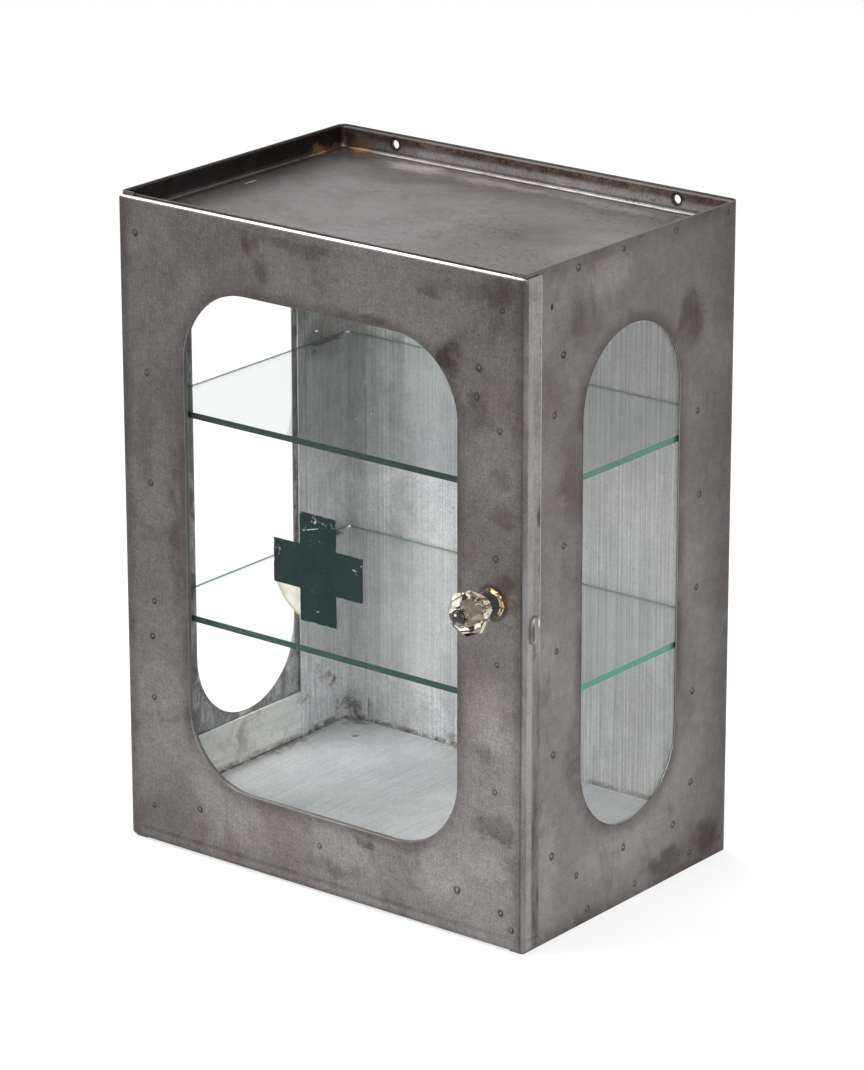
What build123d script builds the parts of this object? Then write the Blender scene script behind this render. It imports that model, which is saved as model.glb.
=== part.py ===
from build123d import *
import os

# Wall cabinet for a clinic: a folded sheet-steel case with a glass window in each side,
# a glazed door on its left edge, a faceted glass knob and two loose glass shelves.
# Origin: middle of the case's underside. X to the right, Y towards the wall, Z up.

os.makedirs("parts", exist_ok=True)

# Case
case_width = 380.0
case_depth = 262.0
case_height = 520.0
sheet = 1.2
seam = 0.1
cut_length = 6.0
rear_corner_radius = 6.0
front_bend_radius = 2.4
front_lip_width = 12.0

# Trays that close the case above and below
roof_recess = 18.0
roof_rim_gap = 1.5
floor_recess = 23.0
tray_corner_radius = 5.4
tray_bend_radius = 3.0

# Windows in the sides
side_window_margin = 71.0
side_window_end_margin = 65.0
side_window_width = case_depth - 2 * side_window_margin
side_window_height = case_height - 2 * side_window_end_margin
right_window_y = -1.0
left_window_y = 4.0

# Screw holes for hanging the case on a wall
wall_hole_inset = 55.0
wall_hole_spacing = case_width - 2 * wall_hole_inset
wall_hole_radius = 3.5
wall_hole_drop = 8.5

# Side panes and the folded strips that hold them
pane_thickness = 3.0
pane_play = 0.3
side_pane_overlap = 15.5
side_pane_end_overlap = 14.0
side_pane_width = side_window_width + 2 * side_pane_overlap
rail_below_window = 3.0
pane_corner_radius = 2.0
pocket_width = 8.0
joggle_run = 3.5
fold_radius = 1.5
corner_fold_radius = 5.2
jamb_width = 20.0
rear_leg_width = 24.0
post_gap = 0.5
tab_width = 14.0
tab_length = 26.0
tab_overlap = 7.0
tab_inset = 15.0
tab_spacing = side_window_width - 2 * tab_inset

# Shelves and their clips
shelf_thickness = 4.8
upper_shelf_depth = 168.0
upper_shelf_level = case_height - upper_shelf_depth
lower_shelf_level = 188.5
shelf_side_gap = 0.8
shelf_back_gap = 0.5
shelf_front_setback = 17.0
shelf_corner_radius = 4.0
clip_length = 32.0
clip_band = 5.0
clip_ledge = 11.0
clip_ear_width = 17.0
clip_ear_drop = 17.0
clip_setback = 1.5
rivet_radius = 1.5
rivet_head_radius = 2.8
rivet_head_height = 1.2
rivet_head_taper = 40.0
rivet_play = 0.05

# Door
door_front_gap = 1.0
door_side_gap = 1.0
door_bottom_gap = 1.0
door_top_gap = 2.5
door_flange_depth = 18.5
door_bend_radius = 3.0
door_corner_radius = 3.5
door_edge_gap = 0.2
window_roll_radius = 1.0
door_window_margin = 60.0
door_window_end_margin = 62.0
door_window_width = case_width - 2 * door_window_margin
door_window_height = case_height - 2 * door_window_end_margin
door_window_radius = 60.0
window_lip_depth = 4.0
door_pane_margin = 11.0
channel_inset = 34.0
channel_flat_width = door_window_margin - channel_inset
channel_lip_width = 9.0
channel_split_drop = 6.0
bar_stud_inset = 38.0
bar_stud_spacing = case_width - 2 * bar_stud_inset
bar_stud_radius = 2.0
bar_stud_rise = 8.0
bar_nut_width = 7.0
bar_nut_height = 2.4
nut_sides = 6

# Hinges
hinge_height = 50.0
hinge_drop = 90.0
barrel_radius = 3.0
pin_radius = 1.5
pin_play = 0.05
pin_head_radius = 2.6
pin_head_height = 1.2
knuckle_gap = 0.3
middle_knuckle_height = 17.4
leaf_thickness = 1.2
flange_to_barrel = 0.6
leaf_setback = 1.6
case_leaf_width = 24.0
hinge_rivet_spacing = 32.0

# Catch
catch_below_middle = 8.0
catch_setback = 9.5
catch_level = case_height / 2 - catch_below_middle
catch_y = catch_setback - case_depth / 2
dimple_height = 22.0
dimple_width = 11.0
dimple_rise = 2.6
dimple_round = 2.3
nose_reach = 1.4
nose_height = 17.0
nose_side_play = 0.7
nose_end_play = 1.4
spring_thickness = 0.8
spring_width = 7.6
spring_length = 70.0
catch_rivet_spacing = 10.0
spring_end = 5.0
spring_foot_radius = 1.2
nose_radius = 3.0

# Knob
knob_inset = 27.0
knob_above_middle = 10.0
knob_x = case_width / 2 - knob_inset
knob_z = case_height / 2 + knob_above_middle
knob_sides = 8
knob_base_radius = 12.5
knob_base_thickness = 3.4
knob_waist_radius = 8.0
knob_waist_distance = 8.5
knob_head_radius = 17.2
knob_head_back = 26.5
knob_head_front = 30.5
knob_table_radius = 9.0
knob_length = 39.0
knob_bevel = 1.4
bolt_radius = 2.5
bolt_play = 0.2
bolt_head_radius = 6.0
bolt_head_height = 3.6
bolt_head_round = 3.0
bolt_tail = 1.4
washer_radius = 6.5
washer_thickness = 0.8
knob_nut_width = 8.0
knob_nut_height = 4.0

# Faces and levels that follow from the sizes above
side = case_width / 2
front = -case_depth / 2
back = case_depth / 2
inner_side = side - sheet
inner_front = front + sheet
inner_back = back - sheet
window_z = case_height / 2
roof_level = case_height - roof_recess
floor_level = floor_recess
wall_hole_z = case_height - wall_hole_drop
tray_width = 2 * (inner_side - seam)
tray_depth = 2 * (inner_back - seam)
post_bottom = floor_level + seam
post_top = roof_level - sheet - seam

strip_side = inner_side - seam
strip_front = inner_front + seam
strip_back = inner_back - seam
pocket_side = inner_side - pane_thickness - pane_play
pane_end = side_pane_width / 2
pane_bottom = post_bottom + sheet + pane_play
pane_top = window_z + side_window_height / 2 + side_pane_end_overlap
side_pane_height = pane_top - pane_bottom
side_pane_z = (pane_top + pane_bottom) / 2
rail_top = window_z - side_window_height / 2 - rail_below_window
joggle_end = pane_end + post_gap + joggle_run
rail_half = pane_end - pocket_width - post_gap
leg_face = strip_side - sheet
leg_seat = leg_face - seam
shelf_half = pocket_side - sheet - shelf_side_gap
shelf_front = front + shelf_front_setback
shelf_back = strip_back - sheet - shelf_back_gap
clip_start = joggle_end + clip_setback
clip_ear_y = clip_start + clip_ear_width / 2
clip_levels = (upper_shelf_level - shelf_thickness, lower_shelf_level - shelf_thickness)

door_side = side + door_side_gap + sheet
door_face = front - door_front_gap - sheet
door_inner_face = door_face + sheet
door_rear = door_face + door_flange_depth
door_bottom = door_bottom_gap
door_top = case_height - door_top_gap
door_pane_front = door_face + window_lip_depth + seam
door_pane_back = door_pane_front + pane_thickness
door_pane_width = door_window_width + 2 * door_pane_margin
door_pane_height = door_window_height + 2 * door_pane_margin
channel_front = door_inner_face + seam
channel_back = channel_front + sheet
channel_lip_front = door_pane_back + seam
channel_lip_back = channel_lip_front + sheet
channel_bore_width = door_pane_width + 2 * pane_play
channel_bore_height = door_pane_height + 2 * pane_play
channel_split = window_z + door_window_height / 2 - channel_split_drop

hinge_x = -(door_side + seam + barrel_radius)
hinge_y = door_rear + flange_to_barrel + barrel_radius
hinge_levels = (hinge_drop, case_height - hinge_drop)
case_leaf_start = hinge_y + barrel_radius + leaf_setback
case_leaf_end = case_leaf_start + case_leaf_width
case_rivet_y = (case_leaf_start + case_leaf_end) / 2
door_leaf_start = door_face + door_bend_radius + post_gap
door_leaf_end = hinge_y - barrel_radius - flange_to_barrel
door_rivet_y = (door_leaf_start + door_leaf_end) / 2

spring_bottom = catch_level - spring_length
catch_rivet_z = spring_bottom + spring_end + catch_rivet_spacing / 2
nose_tip = side + door_side_gap + nose_reach

knob_seat = door_face - washer_thickness
knob_table = knob_seat - knob_length
bolt_end = channel_back + knob_nut_height + bolt_tail


def folded_strip(path, radii, plane, length, inward):
    """A sheet strip: the path of one face on the plane, thickened to one side, then extruded."""
    with BuildPart() as strip:
        with BuildSketch(plane):
            with BuildLine():
                FilletPolyline(*path, radius=radii)
                offset(amount=sheet, side=inward)
            make_face()
        extrude(amount=length)
    return strip.part


def tray(opening_level, height):
    """A folded tray with its turned edges ending at opening_level; a negative height opens down."""
    with BuildPart() as blank:
        with BuildSketch(Plane.XY.offset(opening_level - height)) as outline:
            Rectangle(tray_width, tray_depth)
            fillet(outline.vertices(), tray_corner_radius)
        extrude(amount=height)
        levels = blank.faces().sort_by(Axis.Z, reverse=height < 0)
        fillet(levels[0].edges(), tray_bend_radius)
        levels = blank.faces().sort_by(Axis.Z, reverse=height < 0)
        offset(amount=-sheet, openings=levels[-1])
    return blank.part


def shanks(plane, points, radius, length):
    """Round shanks at points on a plane: rivets, studs and the cutters for their holes."""
    with BuildPart() as group:
        with BuildSketch(plane):
            with Locations(*points):
                Circle(radius)
        extrude(amount=length)
    return group.part


def rivets(plane, points, length):
    """Rivets seated on a plane: a domed head above it and a shank below it."""
    with BuildPart() as group:
        with BuildSketch(plane):
            with Locations(*points):
                Circle(rivet_radius)
        extrude(amount=-length)
        with BuildSketch(plane):
            with Locations(*points):
                Circle(rivet_head_radius)
        extrude(amount=rivet_head_height, taper=rivet_head_taper)
    return group.part


def upright_pair(y, z, spacing):
    """The two points half a spacing below and above (y, z)."""
    return [(y, z + end * spacing / 2) for end in (-1, 1)]


# Places of the rivets and slots, as (y, z) on the sides
rivet_hole_radius = rivet_radius + rivet_play
hinge_case_points = []
hinge_door_points = []
for hinge_level in hinge_levels:
    hinge_case_points += upright_pair(case_rivet_y, hinge_level, hinge_rivet_spacing)
    hinge_door_points += upright_pair(door_rivet_y, hinge_level, hinge_rivet_spacing)
catch_points = upright_pair(catch_y, catch_rivet_z, catch_rivet_spacing)
front_clip_points = [(-clip_ear_y, level - clip_ear_drop / 2) for level in clip_levels]
rear_clip_points = [(clip_ear_y, level - clip_ear_drop / 2) for level in clip_levels]

with BuildPart() as nose_slot:
    with BuildSketch(Plane.YZ.offset(leg_face - sheet)):
        with Locations((catch_y, catch_level)):
            RectangleRounded(
                spring_width + 2 * nose_side_play, nose_height + 2 * nose_end_play, nose_side_play
            )
    extrude(amount=cut_length)

wall_hole_plane = Plane.XZ.offset(-back - sheet)
wall_hole_points = [(end * wall_hole_spacing / 2, wall_hole_z) for end in (-1, 1)]
wall_holes = shanks(wall_hole_plane, wall_hole_points, wall_hole_radius, cut_length)
catch_holes = shanks(Plane.YZ.offset(leg_face - sheet), catch_points, rivet_hole_radius, cut_length)
hinge_case_holes = shanks(
    Plane.YZ.offset(-side - sheet), hinge_case_points, rivet_hole_radius, cut_length
)

# Case shell: left side, back and right side in one sheet, front edges turned in
with BuildPart() as case_shell:
    with BuildSketch() as plan:
        Rectangle(case_width, case_depth)
        fillet(plan.vertices().group_by(Axis.Y)[-1], rear_corner_radius)
        fillet(plan.vertices().group_by(Axis.Y)[0], front_bend_radius)
        offset(amount=-sheet, mode=Mode.SUBTRACT)
        with Locations((0, front)):
            Rectangle(case_width - 2 * front_lip_width, 4 * sheet, mode=Mode.SUBTRACT)
    extrude(amount=case_height)
    with BuildSketch(Plane.YZ.offset(inner_side - sheet)):
        with Locations((right_window_y, window_z)):
            SlotOverall(side_window_height, side_window_width, rotation=90)
    extrude(amount=cut_length, mode=Mode.SUBTRACT)
    with BuildSketch(Plane.YZ.offset(-inner_side + sheet)):
        with Locations((left_window_y, window_z)):
            SlotOverall(side_window_height, side_window_width, rotation=90)
    extrude(amount=-cut_length, mode=Mode.SUBTRACT)
    add(wall_holes, mode=Mode.SUBTRACT)
    add(nose_slot.part, mode=Mode.SUBTRACT)
    add(catch_holes, mode=Mode.SUBTRACT)
    add(hinge_case_holes, mode=Mode.SUBTRACT)
case_shell.part.label = "case_shell"
export_step(case_shell.part, "parts/case_shell.step")

# Roof pan: a tray with its edges turned up behind the rim, with both wall screw holes
roof_tray = tray(case_height - roof_rim_gap, roof_recess - roof_rim_gap + sheet)
with BuildPart() as roof_pan:
    add(roof_tray)
    add(wall_holes, mode=Mode.SUBTRACT)
roof_pan.part.label = "roof_pan"
export_step(roof_pan.part, "parts/roof_pan.step")

# Floor pan: a tray with its edges turned down, level with the rim that the case stands on
floor_tray = tray(0, -floor_recess)
with BuildPart() as floor_pan:
    add(floor_tray)
floor_pan.part.label = "floor_pan"
export_step(floor_pan.part, "parts/floor_pan.step")

# Corner posts: folded strips that stiffen the case and leave a pocket for the side panes
front_path = (
    (side - jamb_width, strip_front),
    (strip_side, strip_front),
    (strip_side, -joggle_end),
    (pocket_side, -joggle_end + joggle_run),
    (pocket_side, -pane_end + pocket_width),
)
rear_path = (
    (pocket_side, pane_end - pocket_width),
    (pocket_side, joggle_end - joggle_run),
    (strip_side, joggle_end),
    (strip_side, strip_back),
    (side - rear_leg_width, strip_back),
)
front_radii = (fold_radius, fold_radius, fold_radius)
rear_radii = (fold_radius, fold_radius, corner_fold_radius)
post_plane = Plane.XY.offset(post_bottom)
post_height = post_top - post_bottom
front_post = folded_strip(front_path, front_radii, post_plane, post_height, Side.LEFT)
rear_post = folded_strip(rear_path, rear_radii, post_plane, post_height, Side.LEFT)

# The shelf clips' rivet holes, which every post has at both shelves
clip_hole_plane = Plane.YZ.offset(leg_face - sheet)
front_clip_holes = shanks(clip_hole_plane, front_clip_points, rivet_hole_radius, cut_length)
rear_clip_holes = shanks(clip_hole_plane, rear_clip_points, rivet_hole_radius, cut_length)

with BuildPart() as right_front_post:
    add(front_post)
    add(front_clip_holes, mode=Mode.SUBTRACT)
    add(nose_slot.part, mode=Mode.SUBTRACT)
    add(catch_holes, mode=Mode.SUBTRACT)
right_front_post.part.label = "right_front_post"
export_step(right_front_post.part, "parts/right_front_post.step")

with BuildPart() as left_front_post:
    add(front_post)
    add(front_clip_holes, mode=Mode.SUBTRACT)
    mirror(about=Plane.YZ, mode=Mode.REPLACE)
    add(hinge_case_holes, mode=Mode.SUBTRACT)
left_front_post.part.label = "left_front_post"
export_step(left_front_post.part, "parts/left_front_post.step")

with BuildPart() as right_rear_post:
    add(rear_post)
    add(rear_clip_holes, mode=Mode.SUBTRACT)
right_rear_post.part.label = "right_rear_post"
export_step(right_rear_post.part, "parts/right_rear_post.step")

with BuildPart() as left_rear_post:
    add(right_rear_post.part)
    mirror(about=Plane.YZ, mode=Mode.REPLACE)
left_rear_post.part.label = "left_rear_post"
export_step(left_rear_post.part, "parts/left_rear_post.step")

# Glass rails: angles along the floor, whose foot carries the side panes
rail_path = (
    (strip_side, post_bottom),
    (pocket_side - sheet, post_bottom),
    (pocket_side - sheet, rail_top),
)
rail_strip = folded_strip(
    rail_path, (fold_radius,), Plane.XZ.offset(-rail_half), 2 * rail_half, Side.RIGHT
)

with BuildPart() as right_glass_rail:
    add(rail_strip)
right_glass_rail.part.label = "right_glass_rail"
export_step(right_glass_rail.part, "parts/right_glass_rail.step")

with BuildPart() as left_glass_rail:
    add(rail_strip)
    mirror(about=Plane.YZ, mode=Mode.REPLACE)
left_glass_rail.part.label = "left_glass_rail"
export_step(left_glass_rail.part, "parts/left_glass_rail.step")

# Tabs: spot-welded above each side pane and stepped over its top edge
tab_path = (
    (strip_side, pane_top + tab_length - tab_overlap),
    (strip_side, pane_top + joggle_run + post_gap),
    (pocket_side, pane_top + post_gap),
    (pocket_side, pane_top - tab_overlap),
)
tab_radii = (fold_radius, fold_radius)
tab_strip = folded_strip(tab_path, tab_radii, Plane.XZ.offset(-tab_width / 2), tab_width, Side.RIGHT)

with BuildPart() as side_glass_tabs:
    with GridLocations(0, tab_spacing, 1, 2):
        add(tab_strip)
    mirror(about=Plane.YZ)
side_glass_tabs.part.label = "side_glass_tabs"
export_step(side_glass_tabs.part, "parts/side_glass_tabs.step")

# Side panes: each stands on its rail's foot, between the panel and the pockets
side_pane_plane = Plane.YZ.offset(pocket_side + pane_play / 2)
with BuildPart() as right_side_glass:
    with BuildSketch(side_pane_plane):
        with Locations((0, side_pane_z)):
            RectangleRounded(side_pane_width, side_pane_height, pane_corner_radius)
    extrude(amount=pane_thickness)
right_side_glass.part.label = "right_side_glass"
export_step(right_side_glass.part, "parts/right_side_glass.step")

with BuildPart() as left_side_glass:
    add(right_side_glass.part)
    mirror(about=Plane.YZ, mode=Mode.REPLACE)
left_side_glass.part.label = "left_side_glass"
export_step(left_side_glass.part, "parts/left_side_glass.step")


def shelf(level):
    """A loose glass shelf with its top face at level."""
    with BuildPart() as pane:
        with BuildSketch(Plane.XY.offset(level - shelf_thickness)):
            with Locations((0, (shelf_front + shelf_back) / 2)):
                RectangleRounded(2 * shelf_half, shelf_back - shelf_front, shelf_corner_radius)
        extrude(amount=shelf_thickness)
    return pane.part


# Shelves: loose panes that lie on their clips, between the posts
upper_shelf = shelf(upper_shelf_level)
upper_shelf.label = "upper_shelf"
export_step(upper_shelf, "parts/upper_shelf.step")

lower_shelf = shelf(lower_shelf_level)
lower_shelf.label = "lower_shelf"
export_step(lower_shelf, "parts/lower_shelf.step")


def shelf_clips(underside):
    """Four clips under one shelf: a band with a round ear, and a ledge turned in below the glass."""
    clip_face = leg_seat - sheet
    ear_straight = clip_ear_drop - clip_ear_width / 2
    with BuildPart() as clips:
        with BuildSketch(Plane.YZ.offset(clip_face)):
            with Locations((clip_start + clip_length / 2, underside - clip_band / 2)):
                Rectangle(clip_length, clip_band)
            with Locations((clip_ear_y, underside - ear_straight / 2)):
                Rectangle(clip_ear_width, ear_straight)
            with Locations((clip_ear_y, underside - ear_straight)):
                Circle(clip_ear_width / 2)
            with Locations((clip_ear_y, underside - clip_ear_drop / 2)):
                Circle(rivet_hole_radius, mode=Mode.SUBTRACT)
        extrude(amount=sheet)
        with BuildSketch(Plane.XY.offset(underside - sheet)):
            with Locations((clip_face + sheet - clip_ledge / 2, clip_start + clip_length / 2)):
                Rectangle(clip_ledge, clip_length)
        extrude(amount=sheet)
        mirror(about=Plane.XZ)
        mirror(about=Plane.YZ)
    return clips.part


# Shelf clips, riveted to the corner posts
upper_shelf_clips = shelf_clips(clip_levels[0])
upper_shelf_clips.label = "upper_shelf_clips"
export_step(upper_shelf_clips, "parts/upper_shelf_clips.step")

lower_shelf_clips = shelf_clips(clip_levels[1])
lower_shelf_clips.label = "lower_shelf_clips"
export_step(lower_shelf_clips, "parts/lower_shelf_clips.step")

clip_rivet_plane = Plane(origin=(leg_seat - sheet, 0, 0), x_dir=(0, 1, 0), z_dir=(-1, 0, 0))
clip_rivet_points = [(y, -z) for y, z in front_clip_points + rear_clip_points]
clip_rivets = rivets(clip_rivet_plane, clip_rivet_points, 2 * sheet + seam)
with BuildPart() as shelf_clip_rivets:
    add(clip_rivets)
    mirror(about=Plane.YZ)
shelf_clip_rivets.part.label = "shelf_clip_rivets"
export_step(shelf_clip_rivets.part, "parts/shelf_clip_rivets.step")

# Door panel: a shallow pan with rolled edges, a lipped window and a dimple for the catch
with BuildPart() as door_panel:
    with BuildSketch(Plane.XZ.offset(-door_rear)):
        with Locations((0, (door_bottom + door_top) / 2)):
            RectangleRounded(2 * door_side, door_top - door_bottom, door_corner_radius)
    extrude(amount=door_flange_depth)
    fillet(door_panel.faces().sort_by(Axis.Y)[0].edges(), door_bend_radius)
    offset(amount=-sheet, openings=door_panel.faces().sort_by(Axis.Y)[-1])
    with BuildSketch(Plane.XZ.offset(-door_rear)):
        with Locations((0, window_z)):
            Rectangle(2 * (side + door_side_gap), case_height)
    extrude(amount=door_rear - front + door_edge_gap, mode=Mode.SUBTRACT)
    with BuildSketch(Plane.XZ.offset(-door_face - window_lip_depth)):
        with Locations((0, window_z)):
            RectangleRounded(
                door_window_width + 2 * sheet, door_window_height + 2 * sheet, door_window_radius + sheet
            )
    extrude(amount=window_lip_depth)
    with BuildSketch(Plane.XZ.offset(-door_face - window_lip_depth)):
        with Locations((0, window_z)):
            RectangleRounded(door_window_width, door_window_height, door_window_radius)
    extrude(amount=window_lip_depth, mode=Mode.SUBTRACT)
    window_edges = door_panel.faces().sort_by(Axis.Y)[0].inner_wires()[0].edges()
    fillet(window_edges, window_roll_radius)
    with BuildSketch(Plane.YZ.offset(door_side)):
        with Locations((catch_y, catch_level)):
            SlotOverall(dimple_height, dimple_width, rotation=90)
    extrude(amount=dimple_rise)
    fillet(door_panel.faces().sort_by(Axis.X)[-1].edges(), dimple_round)
    with BuildSketch(Plane.YZ.offset(door_side - sheet)):
        with Locations((catch_y, catch_level)):
            SlotOverall(dimple_height - 2 * sheet, dimple_width - 2 * sheet, rotation=90)
    extrude(amount=dimple_rise, mode=Mode.SUBTRACT)
    with BuildSketch(Plane.XZ.offset(-door_inner_face)):
        with Locations((knob_x, knob_z)):
            Circle(bolt_radius + bolt_play)
    extrude(amount=sheet, mode=Mode.SUBTRACT)
    with BuildSketch(Plane.YZ.offset(-door_side)):
        with Locations(*hinge_door_points):
            Circle(rivet_hole_radius)
    extrude(amount=sheet, mode=Mode.SUBTRACT)
door_panel.part.label = "door_panel"
export_step(door_panel.part, "parts/door_panel.step")


# Glass channel: a folded frame behind the door's window, whose top is a separate bar
def frame_ring(y, inner_width, inner_height, rim, depth):
    """A flat rectangular ring that reaches forward by depth from the plane at y."""
    with BuildPart() as ring:
        with BuildSketch(Plane.XZ.offset(-y)):
            with Locations((0, window_z)):
                Rectangle(inner_width + 2 * rim, inner_height + 2 * rim)
                Rectangle(inner_width, inner_height, mode=Mode.SUBTRACT)
        extrude(amount=depth)
    return ring.part


outer_ring = frame_ring(
    channel_back, channel_bore_width + 2 * sheet, channel_bore_height + 2 * sheet, channel_flat_width, sheet
)
web_ring = frame_ring(
    channel_lip_back, channel_bore_width, channel_bore_height, sheet, channel_lip_back - channel_front
)
lip_ring = frame_ring(
    channel_lip_back,
    channel_bore_width - 2 * channel_lip_width,
    channel_bore_height - 2 * channel_lip_width,
    channel_lip_width,
    sheet,
)
bar_stud_z = window_z + channel_bore_height / 2 + sheet + channel_flat_width / 2
bar_stud_points = [(end * bar_stud_spacing / 2, bar_stud_z) for end in (-1, 1)]
bar_stud_plane = Plane.XZ.offset(-door_inner_face - bar_stud_rise)
bar_studs = shanks(bar_stud_plane, bar_stud_points, bar_stud_radius, bar_stud_rise - seam)
bar_holes = shanks(bar_stud_plane, bar_stud_points, bar_stud_radius + rivet_play, bar_stud_rise)
knob_hole = shanks(bar_stud_plane, [(knob_x, knob_z)], bolt_radius + bolt_play, bar_stud_rise)

with BuildPart() as door_glass_channel:
    add(outer_ring)
    add(web_ring)
    add(lip_ring)
    split(bisect_by=Plane.XY.offset(channel_split), keep=Keep.BOTTOM)
    add(knob_hole, mode=Mode.SUBTRACT)
door_glass_channel.part.label = "door_glass_channel"
export_step(door_glass_channel.part, "parts/door_glass_channel.step")

with BuildPart() as door_glass_bar:
    add(outer_ring)
    add(web_ring)
    add(lip_ring)
    split(bisect_by=Plane.XY.offset(channel_split + post_gap), keep=Keep.TOP)
    add(bar_holes, mode=Mode.SUBTRACT)
door_glass_bar.part.label = "door_glass_bar"
export_step(door_glass_bar.part, "parts/door_glass_bar.step")

# Studs on the back of the door and the nuts that hold the bar
bar_studs.label = "door_bar_studs"
export_step(bar_studs, "parts/door_bar_studs.step")

with BuildPart() as door_bar_nuts:
    with BuildSketch(Plane.XZ.offset(-channel_back - seam - bar_nut_height)):
        with Locations(*bar_stud_points):
            RegularPolygon(bar_nut_width / 2, nut_sides, major_radius=False)
            Circle(bar_stud_radius + rivet_play, mode=Mode.SUBTRACT)
    extrude(amount=bar_nut_height)
door_bar_nuts.part.label = "door_bar_nuts"
export_step(door_bar_nuts.part, "parts/door_bar_nuts.step")

# Door glass, held between the window's lip and the channel
with BuildPart() as door_glass:
    with BuildSketch(Plane.XZ.offset(-door_pane_back)):
        with Locations((0, window_z)):
            RectangleRounded(door_pane_width, door_pane_height, pane_corner_radius)
    extrude(amount=pane_thickness)
door_glass.part.label = "door_glass"
export_step(door_glass.part, "parts/door_glass.step")


# Hinges: a leaf on the case, a leaf on the door's flange and a headed pin through both
def knuckle(bottom, height):
    """One rolled knuckle on the hinge's axis."""
    with BuildPart() as roll:
        with BuildSketch(Plane.XY.offset(bottom)):
            with Locations((hinge_x, hinge_y)):
                Circle(barrel_radius)
                Circle(pin_radius + pin_play, mode=Mode.SUBTRACT)
        extrude(amount=height)
    return roll.part


def case_leaf(level):
    """The leaf on the case: a plate with two straps that step out to the end knuckles."""
    bottom = level - hinge_height / 2
    end_height = (hinge_height - middle_knuckle_height) / 2 - knuckle_gap
    leaf_in = -(side + seam)
    leaf_out = leaf_in - leaf_thickness
    strap_in = hinge_x + barrel_radius
    strap_out = strap_in - leaf_thickness
    rivet_pair = upright_pair(case_rivet_y, level, hinge_rivet_spacing)
    holes = shanks(Plane.YZ.offset(leaf_out - sheet), rivet_pair, rivet_hole_radius, cut_length)
    rolls = [knuckle(start, end_height) for start in (bottom, bottom + hinge_height - end_height)]
    bore = shanks(Plane.XY.offset(bottom), [(hinge_x, hinge_y)], pin_radius + pin_play, hinge_height)
    with BuildPart() as leaf:
        with BuildSketch(Plane.XY.offset(bottom)):
            with Locations(((leaf_in + leaf_out) / 2, (case_leaf_start + case_leaf_end) / 2)):
                Rectangle(leaf_thickness, case_leaf_width)
        extrude(amount=hinge_height)
        for start in (bottom, bottom + hinge_height - end_height):
            with BuildSketch(Plane.XY.offset(start)):
                with BuildLine():
                    Polyline(
                        (leaf_in, case_leaf_start),
                        (leaf_out, case_leaf_start),
                        (strap_out, hinge_y),
                        (strap_in, hinge_y),
                        close=True,
                    )
                make_face()
            extrude(amount=end_height)
        add(rolls)
        add(bore, mode=Mode.SUBTRACT)
        add(holes, mode=Mode.SUBTRACT)
    return leaf.part


def door_leaf(level):
    """The leaf on the door's flange: a plate whose strap runs into the middle knuckle."""
    bottom = level - hinge_height / 2
    middle = level - middle_knuckle_height / 2
    leaf_middle = -(door_side + seam + leaf_thickness / 2)
    rivet_pair = upright_pair(door_rivet_y, level, hinge_rivet_spacing)
    hole_plane = Plane.YZ.offset(-door_side - 2 * leaf_thickness)
    holes = shanks(hole_plane, rivet_pair, rivet_hole_radius, cut_length)
    roll = knuckle(middle, middle_knuckle_height)
    bore = shanks(Plane.XY.offset(bottom), [(hinge_x, hinge_y)], pin_radius + pin_play, hinge_height)
    with BuildPart() as leaf:
        with BuildSketch(Plane.XY.offset(bottom)):
            with Locations((leaf_middle, (door_leaf_start + door_leaf_end) / 2)):
                Rectangle(leaf_thickness, door_leaf_end - door_leaf_start)
        extrude(amount=hinge_height)
        with BuildSketch(Plane.XY.offset(middle)):
            with Locations((leaf_middle, (door_leaf_end + hinge_y) / 2)):
                Rectangle(leaf_thickness, hinge_y - door_leaf_end)
        extrude(amount=middle_knuckle_height)
        add(roll)
        add(bore, mode=Mode.SUBTRACT)
        add(holes, mode=Mode.SUBTRACT)
    return leaf.part


def hinge_pin(level):
    """A pin with a rounded head at each end."""
    half = hinge_height / 2
    with BuildPart() as pin:
        with BuildSketch(Plane.XY.offset(level - half)):
            with Locations((hinge_x, hinge_y)):
                Circle(pin_radius)
        extrude(amount=hinge_height)
        for plane in (Plane.XY.offset(level + half), Plane.XY.offset(level - half - pin_head_height)):
            with BuildSketch(plane):
                with Locations((hinge_x, hinge_y)):
                    Circle(pin_head_radius)
            extrude(amount=pin_head_height)
        fillet(pin.edges().filter_by(GeomType.CIRCLE).group_by(Axis.Z)[0], pin_head_height / 2)
        fillet(pin.edges().filter_by(GeomType.CIRCLE).group_by(Axis.Z)[-1], pin_head_height / 2)
    return pin.part


for name, level in zip(("lower", "upper"), hinge_levels):
    for piece, shape in (("case_leaf", case_leaf), ("door_leaf", door_leaf), ("pin", hinge_pin)):
        hinge_piece = shape(level)
        hinge_piece.label = f"{name}_hinge_{piece}"
        export_step(hinge_piece, f"parts/{name}_hinge_{piece}.step")

case_head_plane = Plane(
    origin=(-(side + seam + leaf_thickness), 0, 0), x_dir=(0, 1, 0), z_dir=(-1, 0, 0)
)
case_head_points = [(y, -z) for y, z in hinge_case_points]
hinge_case_rivets = rivets(case_head_plane, case_head_points, leaf_thickness + 2 * seam + 2 * sheet)
hinge_case_rivets.label = "hinge_case_rivets"
export_step(hinge_case_rivets, "parts/hinge_case_rivets.step")

door_head_plane = Plane(
    origin=(-(door_side + seam + leaf_thickness), 0, 0), x_dir=(0, 1, 0), z_dir=(-1, 0, 0)
)
door_head_points = [(y, -z) for y, z in hinge_door_points]
hinge_door_rivets = rivets(door_head_plane, door_head_points, leaf_thickness + seam + sheet)
hinge_door_rivets.label = "hinge_door_rivets"
export_step(hinge_door_rivets, "parts/hinge_door_rivets.step")

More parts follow.
